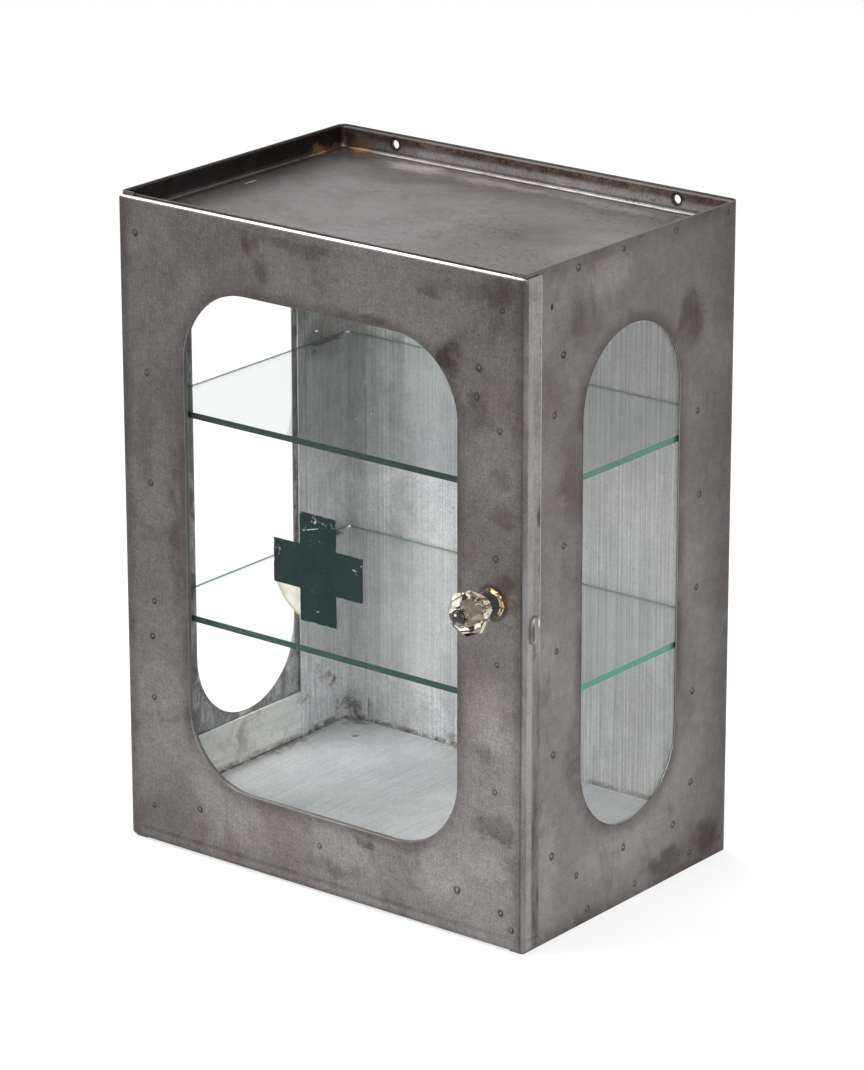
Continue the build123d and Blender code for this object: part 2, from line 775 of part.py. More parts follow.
# Catch: a leaf spring whose folded nose reaches through the side into the door's dimple
spring_holes = shanks(Plane.YZ.offset(leg_seat - 2 * sheet), catch_points, rivet_hole_radius, cut_length)
with BuildPart() as catch_spring:
    with BuildSketch(Plane.XZ.offset(-catch_y - spring_width / 2)):
        with BuildLine():
            FilletPolyline(
                (leg_seat, spring_bottom),
                (leg_seat, catch_level - nose_height / 2),
                (nose_tip, catch_level),
                (leg_seat, catch_level + nose_height / 2),
                (leg_seat, catch_level + nose_height / 2 + spring_end),
                radius=(spring_foot_radius, nose_radius, spring_foot_radius),
            )
            offset(amount=spring_thickness, side=Side.LEFT)
        make_face()
    extrude(amount=spring_width)
    add(spring_holes, mode=Mode.SUBTRACT)
catch_spring.part.label = "catch_spring"
export_step(catch_spring.part, "parts/catch_spring.step")

catch_head_plane = Plane(
    origin=(leg_seat - spring_thickness, 0, 0), x_dir=(0, 1, 0), z_dir=(-1, 0, 0)
)
catch_head_points = [(y, -z) for y, z in catch_points]
catch_rivets = rivets(catch_head_plane, catch_head_points, spring_thickness + 2 * seam + 2 * sheet)
catch_rivets.label = "catch_rivets"
export_step(catch_rivets, "parts/catch_rivets.step")

# Knob: an eight-sided glass pull, as (distance from its seat, corner radius) of each section
knob_sections = (
    (0.0, knob_base_radius - knob_bevel),
    (knob_bevel, knob_base_radius),
    (knob_base_thickness, knob_base_radius),
    (knob_base_thickness + knob_bevel, knob_base_radius - knob_bevel),
    (knob_waist_distance, knob_waist_radius),
    (knob_head_back, knob_head_radius),
    (knob_head_front, knob_head_radius),
    (knob_length, knob_table_radius),
)
with BuildPart() as knob_glass:
    for distance, radius in knob_sections:
        with BuildSketch(Plane.XZ.offset(-knob_seat + distance)):
            with Locations((knob_x, knob_z)):
                RegularPolygon(radius, knob_sides)
    loft(ruled=True)
    with BuildSketch(Plane.XZ.offset(-knob_seat)):
        with Locations((knob_x, knob_z)):
            Circle(bolt_radius + bolt_play)
    extrude(amount=knob_length, mode=Mode.SUBTRACT)
knob_glass.part.label = "knob_glass"
export_step(knob_glass.part, "parts/knob_glass.step")

# Through bolt with a domed head, its washer behind the glass and its nut inside the door
with BuildPart() as knob_bolt:
    with BuildSketch(Plane.XZ.offset(-bolt_end)):
        with Locations((knob_x, knob_z)):
            Circle(bolt_radius)
    extrude(amount=bolt_end - knob_table)
    with BuildSketch(Plane.XZ.offset(-knob_table)):
        with Locations((knob_x, knob_z)):
            Circle(bolt_head_radius)
    extrude(amount=bolt_head_height)
    fillet(knob_bolt.faces().sort_by(Axis.Y)[0].edges(), bolt_head_round)
knob_bolt.part.label = "knob_bolt"
export_step(knob_bolt.part, "parts/knob_bolt.step")

with BuildPart() as knob_washer:
    with BuildSketch(Plane.XZ.offset(-door_face)):
        with Locations((knob_x, knob_z)):
            Circle(washer_radius)
            Circle(bolt_radius + bolt_play, mode=Mode.SUBTRACT)
    extrude(amount=washer_thickness)
knob_washer.part.label = "knob_washer"
export_step(knob_washer.part, "parts/knob_washer.step")

with BuildPart() as knob_nut:
    with BuildSketch(Plane.XZ.offset(-channel_back - knob_nut_height)):
        with Locations((knob_x, knob_z)):
            RegularPolygon(knob_nut_width / 2, nut_sides, major_radius=False)
            Circle(bolt_radius + rivet_play, mode=Mode.SUBTRACT)
    extrude(amount=knob_nut_height)
knob_nut.part.label = "knob_nut"
export_step(knob_nut.part, "parts/knob_nut.step")
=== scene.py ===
import math
import random

import bmesh
import bpy
from mathutils import Matrix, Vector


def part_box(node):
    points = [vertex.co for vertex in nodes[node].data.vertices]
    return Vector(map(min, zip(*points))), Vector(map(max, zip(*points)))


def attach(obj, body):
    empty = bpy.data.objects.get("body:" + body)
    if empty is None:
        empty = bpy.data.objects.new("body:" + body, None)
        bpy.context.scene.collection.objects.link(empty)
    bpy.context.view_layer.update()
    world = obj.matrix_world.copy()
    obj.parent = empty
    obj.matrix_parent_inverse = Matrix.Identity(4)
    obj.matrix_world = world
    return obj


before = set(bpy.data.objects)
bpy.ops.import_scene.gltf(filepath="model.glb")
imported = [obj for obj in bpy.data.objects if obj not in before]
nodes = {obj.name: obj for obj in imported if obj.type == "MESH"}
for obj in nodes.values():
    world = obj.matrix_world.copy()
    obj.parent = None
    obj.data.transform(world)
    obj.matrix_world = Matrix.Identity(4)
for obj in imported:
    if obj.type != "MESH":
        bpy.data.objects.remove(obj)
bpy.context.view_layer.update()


# Case shell
# The real case is one sheet of 1.2 mm steel, folded round the sides and back, stripped to bare
# metal outside and brushed with off-white enamel inside. A long window is cut in each side.
MM = 0.001


class Finish:
    """One material, built from plain calls that each add a node and give back its output."""

    def __init__(self, name):
        self.material = bpy.data.materials.new(name)
        self.material.use_nodes = True
        self.tree = self.material.node_tree
        self.shader = self.tree.nodes["Principled BSDF"]
        self.output = self.tree.nodes["Material Output"]
        self.place = self.add("ShaderNodeTexCoord").outputs["Object"]
        split = self.add("ShaderNodeSeparateXYZ")
        self.join(self.place, split.inputs["Vector"])
        self.x, self.y, self.z = split.outputs["X"], split.outputs["Y"], split.outputs["Z"]
        self.ragged = None

    def add(self, kind, **settings):
        node = self.tree.nodes.new(kind)
        for key, value in settings.items():
            setattr(node, key, value)
        return node

    def join(self, value, socket):
        if isinstance(value, bpy.types.NodeSocket):
            self.tree.links.new(value, socket)
        elif isinstance(value, tuple) and len(value) == 3 and socket.type == "RGBA":
            socket.default_value = (*value, 1.0)
        else:
            socket.default_value = value

    def stretch(self, scale, shift=(0.0, 0.0, 0.0)):
        """The place on the piece scaled along each axis, for marks that run one way."""
        node = self.add("ShaderNodeMapping")
        self.join(self.place, node.inputs["Vector"])
        self.join(shift, node.inputs["Location"])
        self.join(scale, node.inputs["Scale"])
        return node.outputs["Vector"]

    def noise(self, scale, detail=3.0, rough=0.55, warp=0.0, vector=None):
        node = self.add("ShaderNodeTexNoise")
        self.join(vector or self.place, node.inputs["Vector"])
        for key, value in (("Scale", scale), ("Detail", detail), ("Roughness", rough), ("Distortion", warp)):
            self.join(value, node.inputs[key])
        return node.outputs["Fac"]

    def cells(self, scale, vector=None):
        node = self.add("ShaderNodeTexVoronoi")
        self.join(vector or self.place, node.inputs["Vector"])
        self.join(scale, node.inputs["Scale"])
        return node.outputs["Distance"]

    def calc(self, operation, *values):
        """The values worked through in turn by one operation, as a long sum is."""
        total = values[0]
        for value in values[1:] or (0.0,):
            node = self.add("ShaderNodeMath", operation=operation)
            self.join(total, node.inputs[0])
            self.join(value, node.inputs[1])
            total = node.outputs["Value"]
        return total

    def times(self, *values):
        return self.calc("MULTIPLY", *values)

    def plus(self, *values):
        return self.calc("ADD", *values)

    def minus(self, *values):
        return self.calc("SUBTRACT", *values)

    def most(self, *values):
        return self.calc("MAXIMUM", *values)

    def least(self, *values):
        return self.calc("MINIMUM", *values)

    def rest(self, share):
        """What a share from 0 to 1 leaves over."""
        return self.minus(1.0, share)

    def off(self, value, middle):
        """How far value is from middle, either way."""
        return self.calc("ABSOLUTE", self.minus(value, middle))

    def span(self, *legs):
        """The straight distance made by legs at right angles."""
        return self.calc("SQRT", self.plus(*[self.calc("POWER", leg, 2.0) for leg in legs]))

    def past_corner(self, *overs):
        """How far out a point is from where a corner starts to turn, given how far it is over each side."""
        return self.span(*[self.most(over, 0.0) for over in overs])

    def from_core(self, *overs):
        """As past_corner, but below 0 for a point that is inside all the sides."""
        return self.plus(self.past_corner(*overs), self.least(self.most(*overs), 0.0))

    def ramp(self, value, low, high, start=0.0, end=1.0):
        """value from low to high becomes start to end, and stays there beyond them."""
        node = self.add("ShaderNodeMapRange", interpolation_type="SMOOTHSTEP")
        self.join(value, node.inputs["Value"])
        for key, number in (("From Min", low), ("From Max", high), ("To Min", start), ("To Max", end)):
            self.join(number, node.inputs[key])
        return node.outputs["Result"]

    def fade(self, value, low, high):
        """1 where value is below low, and 0 where it's above high."""
        return self.ramp(value, low, high, 1.0, 0.0)

    def near(self, value, middle, low, high):
        """1 where value is within low of middle, and 0 where it's more than high away."""
        return self.fade(self.off(value, middle), low, high)

    def coats(self, colour, *coats):
        """colour with coats brushed over it, each a share from 0 to 1 and the coat's own colour."""
        for share, tone in coats:
            node = self.add("ShaderNodeMix", data_type="RGBA")
            self.join(share, node.inputs["Factor"])
            self.join(colour, node.inputs[6])
            self.join(tone, node.inputs[7])
            colour = node.outputs[2]
        return colour

    def shaded(self, colour, *shades):
        """colour made darker or lighter by every shade, where 1 leaves it as it is."""
        for shade in shades:
            node = self.add("ShaderNodeVectorMath", operation="SCALE")
            self.join(colour, node.inputs[0])
            self.join(shade, node.inputs["Scale"])
            colour = node.outputs["Vector"]
        return colour

    def ragged_place(self):
        """The place on the piece, pushed about by a few mm, so that patches get torn outlines."""
        if self.ragged is None:
            push, swing = self.add("ShaderNodeTexNoise"), 0.034
            self.join(self.place, push.inputs["Vector"])
            for key, value in (("Scale", 55.0), ("Detail", 6.0), ("Roughness", 0.7)):
                self.join(value, push.inputs[key])
            node = self.add("ShaderNodeVectorMath", operation="MULTIPLY_ADD")
            self.join(push.outputs["Color"], node.inputs[0])
            self.join((swing,) * 3, node.inputs[1])
            self.join(self.place, node.inputs[2])
            centred = self.add("ShaderNodeVectorMath", operation="SUBTRACT")
            self.join(node.outputs["Vector"], centred.inputs[0])
            self.join((swing / 2,) * 3, centred.inputs[1])
            self.ragged = centred.outputs["Vector"]
        return self.ragged

    def spot(self, centre, size, edge=0.2, torn=False):
        """A soft patch round centre, with half its size along each axis in mm, 1 inside and 0 outside."""
        node = self.add("ShaderNodeMapping", vector_type="TEXTURE")
        self.join(self.ragged_place() if torn else self.place, node.inputs["Vector"])
        self.join(tuple(c * MM for c in centre), node.inputs["Location"])
        self.join(tuple(s * MM for s in size), node.inputs["Scale"])
        length = self.add("ShaderNodeVectorMath", operation="LENGTH")
        self.join(node.outputs["Vector"], length.inputs[0])
        return self.fade(length.outputs["Value"], edge, 1.0)

    def spots(self, *patches):
        """The strongest of several torn patches, each (centre, half size, strength)."""
        shares = [self.times(self.spot(centre, size, 0.3, True), strength)
                  for centre, size, strength in patches]
        return self.most(*shares)

    def set(self, **values):
        for key, value in values.items():
            self.join(value, self.shader.inputs[key.replace("_", " ")])

    def either(self, share, first, second):
        """Two shaders blended, the second by its share."""
        node = self.add("ShaderNodeMixShader")
        for value, socket in zip((share, first, second), node.inputs):
            self.join(value, socket)
        return node.outputs[0]

    def relief(self, height, strength, depth):
        node = self.add("ShaderNodeBump")
        self.join(height, node.inputs["Height"])
        self.join(strength, node.inputs["Strength"])
        self.join(depth, node.inputs["Distance"])
        self.join(node.outputs["Normal"], self.shader.inputs["Normal"])

    def coat_all(self, *names):
        """Puts the finish on the CAD pieces of these names."""
        for name in names:
            for slot in nodes[name].material_slots:
                slot.material = self.material


brown, black = (0.058, 0.042, 0.037), (0.018, 0.015, 0.013)
bare_metal = 0.88
coat_depth = 0.0004


def bare_steel(finish, stained, shade, streak=(700.0, 700.0, 60.0)):
    """Stripped steel: colour, roughness and height. stained is 0 to 1, shade is painted light and shade, 1
    where none is painted.
    """
    clouds = finish.noise(9.0, 3.0, 0.5, 0.3)
    mottle = finish.noise(120.0, 5.0, 0.62)
    grain = finish.noise(1100.0, 3.0, 0.75)
    streaks = finish.noise(1.0, 3.0, 0.6, 0.0, finish.stretch(streak))
    crossing = finish.noise(1.0, 3.0, 0.6, 0.0, finish.stretch((60.0, 60.0, 700.0)))
    smears = finish.noise(24.0, 7.0, 0.66, 1.0, finish.stretch((1.0, 1.0, 0.6), (0.3, 0.1, 0.7)))
    specks = finish.fade(finish.cells(330.0), 0.10, 0.22)
    specks = finish.times(specks, finish.ramp(finish.noise(75.0, 3.0), 0.55, 0.68))
    stain = finish.times(stained, finish.ramp(smears, 0.32, 0.60, 0.38, 1.0))
    plain, rubbed, smoked = (0.166, 0.151, 0.145), (0.228, 0.218, 0.214), (0.105, 0.086, 0.079)
    colour = finish.coats(plain, (finish.ramp(clouds, 0.34, 0.66), rubbed),
                          (finish.ramp(smears, 0.53, 0.70, 0.0, 0.50), smoked), (stain, brown))
    colour = finish.shaded(
        colour, finish.ramp(mottle, 0.3, 0.7, 0.92, 1.08), finish.ramp(grain, 0.3, 0.7, 0.68, 1.32),
        finish.ramp(streaks, 0.3, 0.7, 0.925, 1.075), finish.ramp(crossing, 0.3, 0.7, 0.955, 1.045), shade)
    colour = finish.coats(colour, (finish.times(specks, 0.7), black))
    rough = finish.plus(finish.ramp(clouds, 0.3, 0.7, 0.46, 0.38), finish.times(stain, 0.12),
                        finish.ramp(grain, 0.3, 0.7, -0.03, 0.03))
    height = finish.plus(finish.times(mottle, 0.7), finish.times(grain, 0.35), finish.times(specks, -0.8))
    return colour, rough, height


def old_enamel(finish, dull, streak=(820.0, 820.0, 8.0), dirt=0.0):
    """Brushed white enamel over steel. dull and dirt are 0 to 1: worn thin, and soiled."""
    fine = finish.noise(1.0, 3.0, 0.65, 0.0, finish.stretch(streak))
    wide = finish.noise(1.0, 3.0, 0.6, 0.0, finish.stretch(tuple(s * 0.11 for s in streak), (0.2, 0.4, 0.1)))
    clouds = finish.noise(26.0, 8.0, 0.68, 0.6)
    tint = finish.noise(8.0, 3.0, 0.5, 0.4)
    grain = finish.noise(430.0, 4.0, 0.7)
    wear = finish.noise(70.0, 8.0, 0.74, 0.6)
    specks = finish.times(
        finish.fade(finish.cells(170.0), 0.07, 0.13), finish.ramp(finish.noise(50.0, 2.0), 0.56, 0.62))
    white, cool, chalk = (0.775, 0.775, 0.770), (0.755, 0.765, 0.800), (0.93, 0.93, 0.92)
    thin, cloudy, worn = (0.50, 0.515, 0.53), (0.55, 0.56, 0.58), (0.56, 0.565, 0.57)
    ridge, groove, olive = (0.97, 0.97, 0.96), (0.42, 0.43, 0.43), (0.190, 0.200, 0.160)
    bared, speck, soil = (0.26, 0.235, 0.205), (0.13, 0.115, 0.10), (0.085, 0.062, 0.046)
    dulled = finish.times(
        dull, finish.ramp(clouds, 0.38, 0.60, 1.0, 0.50), finish.ramp(fine, 0.42, 0.60, 1.0, 0.82))
    colour = finish.coats(
        white, (finish.ramp(tint, 0.44, 0.60), cool), (finish.ramp(wide, 0.44, 0.64, 0.0, 0.26), thin),
        (finish.ramp(clouds, 0.38, 0.54, 0.52, 0.0), cloudy),
        (finish.ramp(wear, 0.40, 0.52, 0.40, 0.0), worn), (finish.ramp(clouds, 0.52, 0.68, 0.0, 0.6), chalk),
        (finish.ramp(fine, 0.53, 0.63, 0.0, 0.45), ridge), (finish.ramp(fine, 0.37, 0.46, 0.42, 0.0), groove),
        (dulled, olive), (finish.ramp(wear, 0.64, 0.71, 0.0, 0.7), bared),
        (finish.times(specks, 0.75), speck), (finish.times(dirt, finish.ramp(wear, 0.42, 0.56)), soil))
    colour = finish.shaded(colour, finish.ramp(grain, 0.3, 0.7, 0.84, 1.16))
    rough = finish.ramp(fine, 0.3, 0.7, 0.48, 0.36)
    return colour, rough, fine


def two_faced(finish, inside, steel, enamel, metal=bare_metal):
    """Steel on one face of a sheet and enamel on the other; inside is 1 on the enamel's side."""
    weigh = [finish.plus(finish.times(inside, enamel[i]), finish.times(finish.rest(inside), steel[i]))
             for i in (1, 2)]
    finish.set(Base_Color=finish.coats(steel[0], (inside, enamel[0])), Roughness=weigh[0],
               Metallic=finish.times(finish.rest(inside), metal))
    finish.relief(weigh[1], 0.30, coat_depth)


def on_right_side(finish, *patches):
    """Torn patches on the right side's face, each (y, z, half width, half height, strength)."""
    return finish.spots(*[((190, y, z), (30, w, h), share) for y, z, w, h, share in patches])


shell = Finish("case_shell_steel")
turn_x, turn_y = 0.184, 0.125
window_height, window_run, window_radius = 0.26, 0.135, 0.060
across = shell.calc("ABSOLUTE", shell.x)
# the sheet's outer half is bare, measured inwards from the rounded outline of the case
outline = shell.from_core(shell.minus(across, turn_x), shell.minus(shell.y, turn_y))
within = shell.times(
    shell.fade(outline, 0.0053, 0.0055), shell.ramp(shell.y, -0.13055, -0.13035),
    shell.fade(shell.z, 0.5010, 0.5025))
on_side = shell.ramp(across, 0.186, 0.188)
behind_pane = shell.times(
    on_side, shell.near(shell.y, 0.0, 0.0748, 0.0756), shell.fade(shell.z, 0.4690, 0.4698))
run = shell.most(shell.minus(shell.off(shell.z, window_height), window_run), 0.0)
window_middle = shell.ramp(shell.x, -0.1, 0.1, 0.004, -0.001)
reach = shell.span(run, shell.minus(shell.y, window_middle))
window_cut = shell.times(on_side, shell.fade(reach, 0.0601, 0.0604))
rim_cut = shell.most(shell.ramp(shell.z, 0.5194, 0.5197), shell.fade(shell.z, 0.0002, 0.0005))
cut = shell.most(window_cut, rim_cut)
missed = shell.noise(1.0, 7.0, 0.7, 0.5, shell.stretch((110.0, 110.0, 50.0)))
thin_coat = shell.ramp(missed, 0.42, 0.62, 0.85, 0.28)
shell_inside = shell.times(within, shell.rest(shell.times(behind_pane, thin_coat)), shell.rest(cut))
stains = shell.most(
    shell.times(on_side, shell.ramp(reach, window_radius, 0.0740, 0.65, 0.0)),
    shell.ramp(shell.y, 0.088, 0.131, 0.0, 0.42), shell.ramp(shell.z, 0.500, 0.520, 0.0, 0.45),
    shell.ramp(shell.z, 0.016, 0.0, 0.0, 0.65),
    on_right_side(shell, (72, 440, 26, 32, 0.75), (-68, 128, 20, 40, 0.6), (100, 18, 34, 26, 0.8),
                  (45, 15, 40, 16, 0.7), (-70, 360, 22, 60, 0.35), (60, 130, 26, 26, 0.4),
                  (-118, 150, 8, 150, 0.45), (-60, 470, 30, 26, 0.35)))
# painted light: lighter patches on the right side's face. side_shade also paints shade: darker towards the
# back, and darker on the inner face behind each pane.
lit = on_right_side(shell, (-30, 498, 42, 24, 0.30), (-105, 60, 22, 70, 0.26), (-20, 45, 70, 26, 0.20),
                    (-100, 300, 20, 150, 0.14), (92, 150, 20, 90, 0.10))
side_shade = shell.times(
    shell.plus(lit, 0.87), shell.ramp(shell.y, 0.05, 0.125, 1.0, 0.80),
    shell.ramp(shell.times(behind_pane, within), 0.0, 1.0, 1.0, 0.85))
steel = bare_steel(shell, stains, side_shade)
# the small hole near the top front is painted black: painted shade standing in for its dark inside
hole_painted_dark = shell.times(shell.spot((190, -100.2, 489.6), (3, 1.5, 2.9), 0.8), on_side)
edge_metal = (0.115, 0.105, 0.085)
cut_front = shell.ramp(across, 0.18915, 0.18935)
window_ring = shell.times(on_side, shell.near(reach, 0.0607, 0.0002, 0.0007))
# the windows' cut faces: dark, partly the steel's cut edge and partly painted shade of the gap to the glass,
# with a painted highlight on the faces that look forward
cut_dark, cut_painted_highlight = (0.028, 0.022, 0.019), (0.34, 0.33, 0.31)
steel = (shell.coats(steel[0], (cut, edge_metal), (shell.times(window_ring, 0.6), brown),
                     (window_cut, cut_dark), (shell.times(window_cut, cut_front, 0.9), cut_painted_highlight),
                     (hole_painted_dark, black)), *steel[1:])
# worn-thin olive patches, which also paint shade: high on the back wall, on the walls and towards the bottom
dull = shell.most(
    shell.spots(((-158, 130, 440), (48, 12, 130), 0.95), ((-134, 130, 350), (14, 12, 170), 0.62),
                ((-188, 100, 330), (14, 40, 190), 0.70), ((-188, -100, 260), (12, 34, 260), 0.60),
                ((0, 130, 500), (190, 12, 34), 0.45), ((-150, 130, 30), (50, 12, 22), 0.40),
                ((-130, 130, 190), (22, 12, 90), 0.45)), shell.ramp(shell.z, 0.20, 0.03, 0.0, 0.26))
soiled = shell.most(shell.ramp(shell.z, 0.0275, 0.0240, 0.0, 0.9),
                    shell.spots(((-178, 130, 32), (24, 20, 16), 0.95), ((-60, 130, 26), (60, 20, 7), 0.6)))
wall_enamel = old_enamel(shell, dull, dirt=soiled)
# painted light and shade inside the case: lighter from about 100 mm left of the middle rightwards, a little
# under plain past 20 mm right of it, and darker towards the bottom there
right_part = (-0.035, 0.020)
wall_light = shell.times(
    shell.ramp(shell.x, -0.122, -0.088, 1.0, 1.24), shell.ramp(shell.x, *right_part, 1.0, 0.76))
brushed = shell.ramp(shell.x, *right_part, 0.12, 1.0)
lines = shell.times(brushed, shell.ramp(wall_enamel[2], 0.40, 0.62, -0.11, 0.12))
lower = shell.times(brushed, shell.ramp(shell.z, 0.26, 0.08, 0.0, -0.13))
wall_white = shell.coats(wall_enamel[0], (shell.ramp(shell.x, *right_part, 0.0, 0.30), (0.80, 0.79, 0.75)))
wall_white = shell.shaded(wall_white, wall_light, shell.plus(lines, lower, 1.0))
two_faced(shell, shell_inside, steel, (wall_white, *wall_enamel[1:]))
shell.coat_all("case_shell")


# Roof and floor pans
# Each is a shallow tray pressed from the same sheet and spot-welded inside the case: the roof
# opens up and is bare and pitted on top, the floor opens down and is enamelled on top.
def from_rim(finish, half_width, half_depth):
    """How far a pan's turned-up or turned-down rim is."""
    return finish.least(finish.minus(half_width, finish.off(finish.x, 0.0)),
                        finish.minus(half_depth, finish.off(finish.y, 0.0)))


roof = Finish("roof_pan_steel")
roof_under = roof.fade(roof.z, 0.5011, 0.5017)
wall_distance = from_rim(roof, 0.1887, 0.1297)
up_edge = roof.ramp(roof.z, 0.5050, 0.5060)
left_edge = roof.times(up_edge, roof.ramp(roof.x, -0.1860, -0.1868))
back_edge = roof.times(up_edge, roof.ramp(roof.y, 0.1270, 0.1278))
by_left = roof.fade(roof.x, -0.186, -0.140)
flecks = roof.times(
    roof.ramp(roof.noise(230.0, 5.0, 0.8, 0.5), 0.545, 0.60),
    roof.most(roof.spots(((50, -20, 502), (120, 80, 40), 0.95), ((120, -60, 502), (80, 60, 40), 0.9),
                         ((-110, 60, 502), (70, 60, 40), 0.5), ((110, 90, 502), (80, 40, 40), 0.8)),
              roof.ramp(roof.noise(14.0, 4.0, 0.6), 0.46, 0.62, 0.12, 0.75)))
# stains, with painted shade: darker towards the left wall and in a band just in from the rims
roof_stain_and_shade = roof.most(
    roof.times(by_left, 0.50), roof.times(left_edge, roof.ramp(roof.z, 0.507, 0.514, 0.55, 1.0)),
    roof.times(back_edge, roof.ramp(roof.z, 0.5105, 0.5135, 0.1, 0.95)),
    roof.ramp(roof.off(wall_distance, 0.0052), 0.0008, 0.0022, 0.9, 0.0),
    roof.times(roof.spot((-186, 128, 511), (26, 22, 14), 0.3, True), 0.95),
    roof.spots(((-164, 112, 504), (40, 26, 20), 0.9), ((90, 10, 502), (50, 40, 20), 0.35),
               ((-90, 20, 502), (40, 30, 20), 0.3)))
# painted light: soft pools of light just in front of the back flange and over the middle of the roof
roof_lit = roof.spots(((-98, 111, 502), (40, 13, 14), 0.95), ((60, 60, 502), (150, 60, 20), 0.12),
                      ((-20, 108, 502), (70, 12, 14), 0.62), ((90, 108, 502), (70, 10, 14), 0.40))
# painted light: pinkish pools of light in front of the back flange, made dull and not metal so that they show
painted_light_pools = roof.times(
    roof.spots(((-100, 109, 502), (40, 15, 14), 0.62), ((-24, 108, 502), (66, 13, 14), 0.38),
               ((84, 110, 502), (80, 10, 14), 0.26)),
    roof.ramp(roof.noise(60.0, 5.0, 0.7), 0.3, 0.6, 0.6, 1.0), roof.ramp(wall_distance, 0.004, 0.009))
# painted shade: the top at 0.68, darker on the left flange and towards the left, lighter low on the back
# flange, with the painted pools of light
roof_shade = roof.plus(
    roof.times(left_edge, -0.35), roof.times(by_left, -0.12),
    roof.times(back_edge, roof.ramp(roof.z, 0.5085, 0.5125, 0.55, 0.05)), roof_lit, 0.68)
roof_steel = bare_steel(roof, roof_stain_and_shade, roof_shade, (40.0, 800.0, 800.0))
# painted highlight: a pale line along the bend at the foot of the rims, strongest along the back
bend = roof.times(roof.near(wall_distance, 0.0028, 0.0004, 0.0011), roof.fade(roof.z, 0.5050, 0.5062),
                  roof.ramp(roof.noise(60.0, 4.0), 0.35, 0.55, 0.45, 1.0))
from_corner = roof.ramp(roof.x, -0.172, -0.140)
back_bend_highlight = roof.times(
    bend, roof.ramp(roof.y, 0.120, 0.124, 0.30, 1.0), roof.ramp(from_corner, 0.0, 1.0, 0.12, 1.0))
rust = roof.most(
    roof.times(roof.spot((-186, 104, 505), (7, 26, 6), 0.4, True), 0.95),
    roof.times(roof.spot((-168, 127, 505), (24, 7, 6), 0.3, True), 0.85),
    roof.times(back_edge, roof.ramp(roof.noise(240.0, 6.0, 0.75), 0.46, 0.60, 0.0, 0.30),
               roof.ramp(roof.z, 0.509, 0.514)))
# painted shade: black round the two mounting holes in the back flange
ring = roof.most(*[roof.spot((side * 135, 130, 511.5), (7.0, 9, 7.0), 0.62) for side in (-1, 1)])
# painted highlight along the top of the back flange
rim_light = roof.times(roof.ramp(roof.z, 0.5170, 0.5178), back_edge, 0.7)
scraped = roof.times(roof.spot((-173.6, -1.9, 502), (1.4, 9, 4), 0.5), roof.ramp(roof.noise(500.0), 0.4, 0.5))
roof_colour = roof.coats(
    roof_steel[0], (flecks, black), (rust, (0.30, 0.170, 0.085)), (rim_light, (0.42, 0.40, 0.38)),
    (roof.times(back_bend_highlight, 0.85), (0.88, 0.86, 0.84)), (roof.times(ring, 0.9), black),
    (scraped, (0.62, 0.60, 0.54)), (painted_light_pools, (0.32, 0.278, 0.262)))
two_faced(roof, roof_under, (roof_colour, roof.minus(roof_steel[1], 0.06), roof_steel[2]),
          old_enamel(roof, 0.3, (5.0, 520.0, 520.0)), metal=roof.ramp(painted_light_pools, 0.0, 1.0, bare_metal, 0.15))
roof.coat_all("roof_pan")

floor_pan = Finish("floor_pan_enamel")
floor_top = floor_pan.ramp(floor_pan.z, 0.0221, 0.0227)
joint = from_rim(floor_pan, 0.1843, 0.1290)
grime = floor_pan.most(
    floor_pan.fade(joint, 0.0004, 0.0022),
    floor_pan.spots(((-176, 126, 23), (26, 14, 12), 0.8), ((-66, 129, 23), (44, 9, 12), 0.7),
                    ((-184, 40, 23), (10, 90, 12), 0.55)))
chips = floor_pan.times(
    floor_pan.spot((-152, 96, 23), (4.5, 4, 8), 0.6), floor_pan.ramp(floor_pan.noise(420.0, 3.0), 0.46, 0.5))
# painted shade: the enamel is dulled a little over the back left of the floor
swept = old_enamel(floor_pan, floor_pan.times(floor_pan.spot((-160, 60, 23), (70, 110, 30)), 0.16),
                   (520.0, 12.0, 520.0), grime)
greyed, soil = (0.59, 0.60, 0.615), (0.085, 0.062, 0.045)
grime = floor_pan.times(grime, floor_pan.ramp(floor_pan.noise(160.0, 5.0), 0.40, 0.56))
floor_colour = floor_pan.coats(swept[0], (0.42, greyed), (grime, soil), (chips, black))
two_faced(floor_pan, floor_top, bare_steel(floor_pan, 0.5, 0.8), (floor_colour, *swept[1:]))
floor_pan.coat_all("floor_pan")


# Posts, glass rails, tabs, door glass channel and shelf clips
# Folded strips of sheet, spot-welded in the corners and round the door's window. They are brushed with the
# walls' enamel, the rear posts duller and greener towards the top, with painted shade and highlights at their
# folds, and the door's channel and the bare front posts are darker with painted shade.
def brushed_with(finish, colour, enamel, *names):
    """The colour, with the enamel's own roughness and brush marks, on every named strip."""
    finish.set(Base_Color=colour, Roughness=enamel[1])
    finish.relief(enamel[2], 0.35, coat_depth)
    finish.coat_all(*names)


strips = Finish("strip_enamel")
strip_dull = strips.ramp(strips.z, 0.14, 0.45, 0.15, 1.0)
# painted shade: a dark line down each rear post's joggle, which also gathers dirt
joggle_shade_and_dirt = strips.times(
    strips.near(strips.y, 0.0788, 0.0008, 0.0026), strips.ramp(strips.z, 0.05, 0.07, 0.5, 1.0))
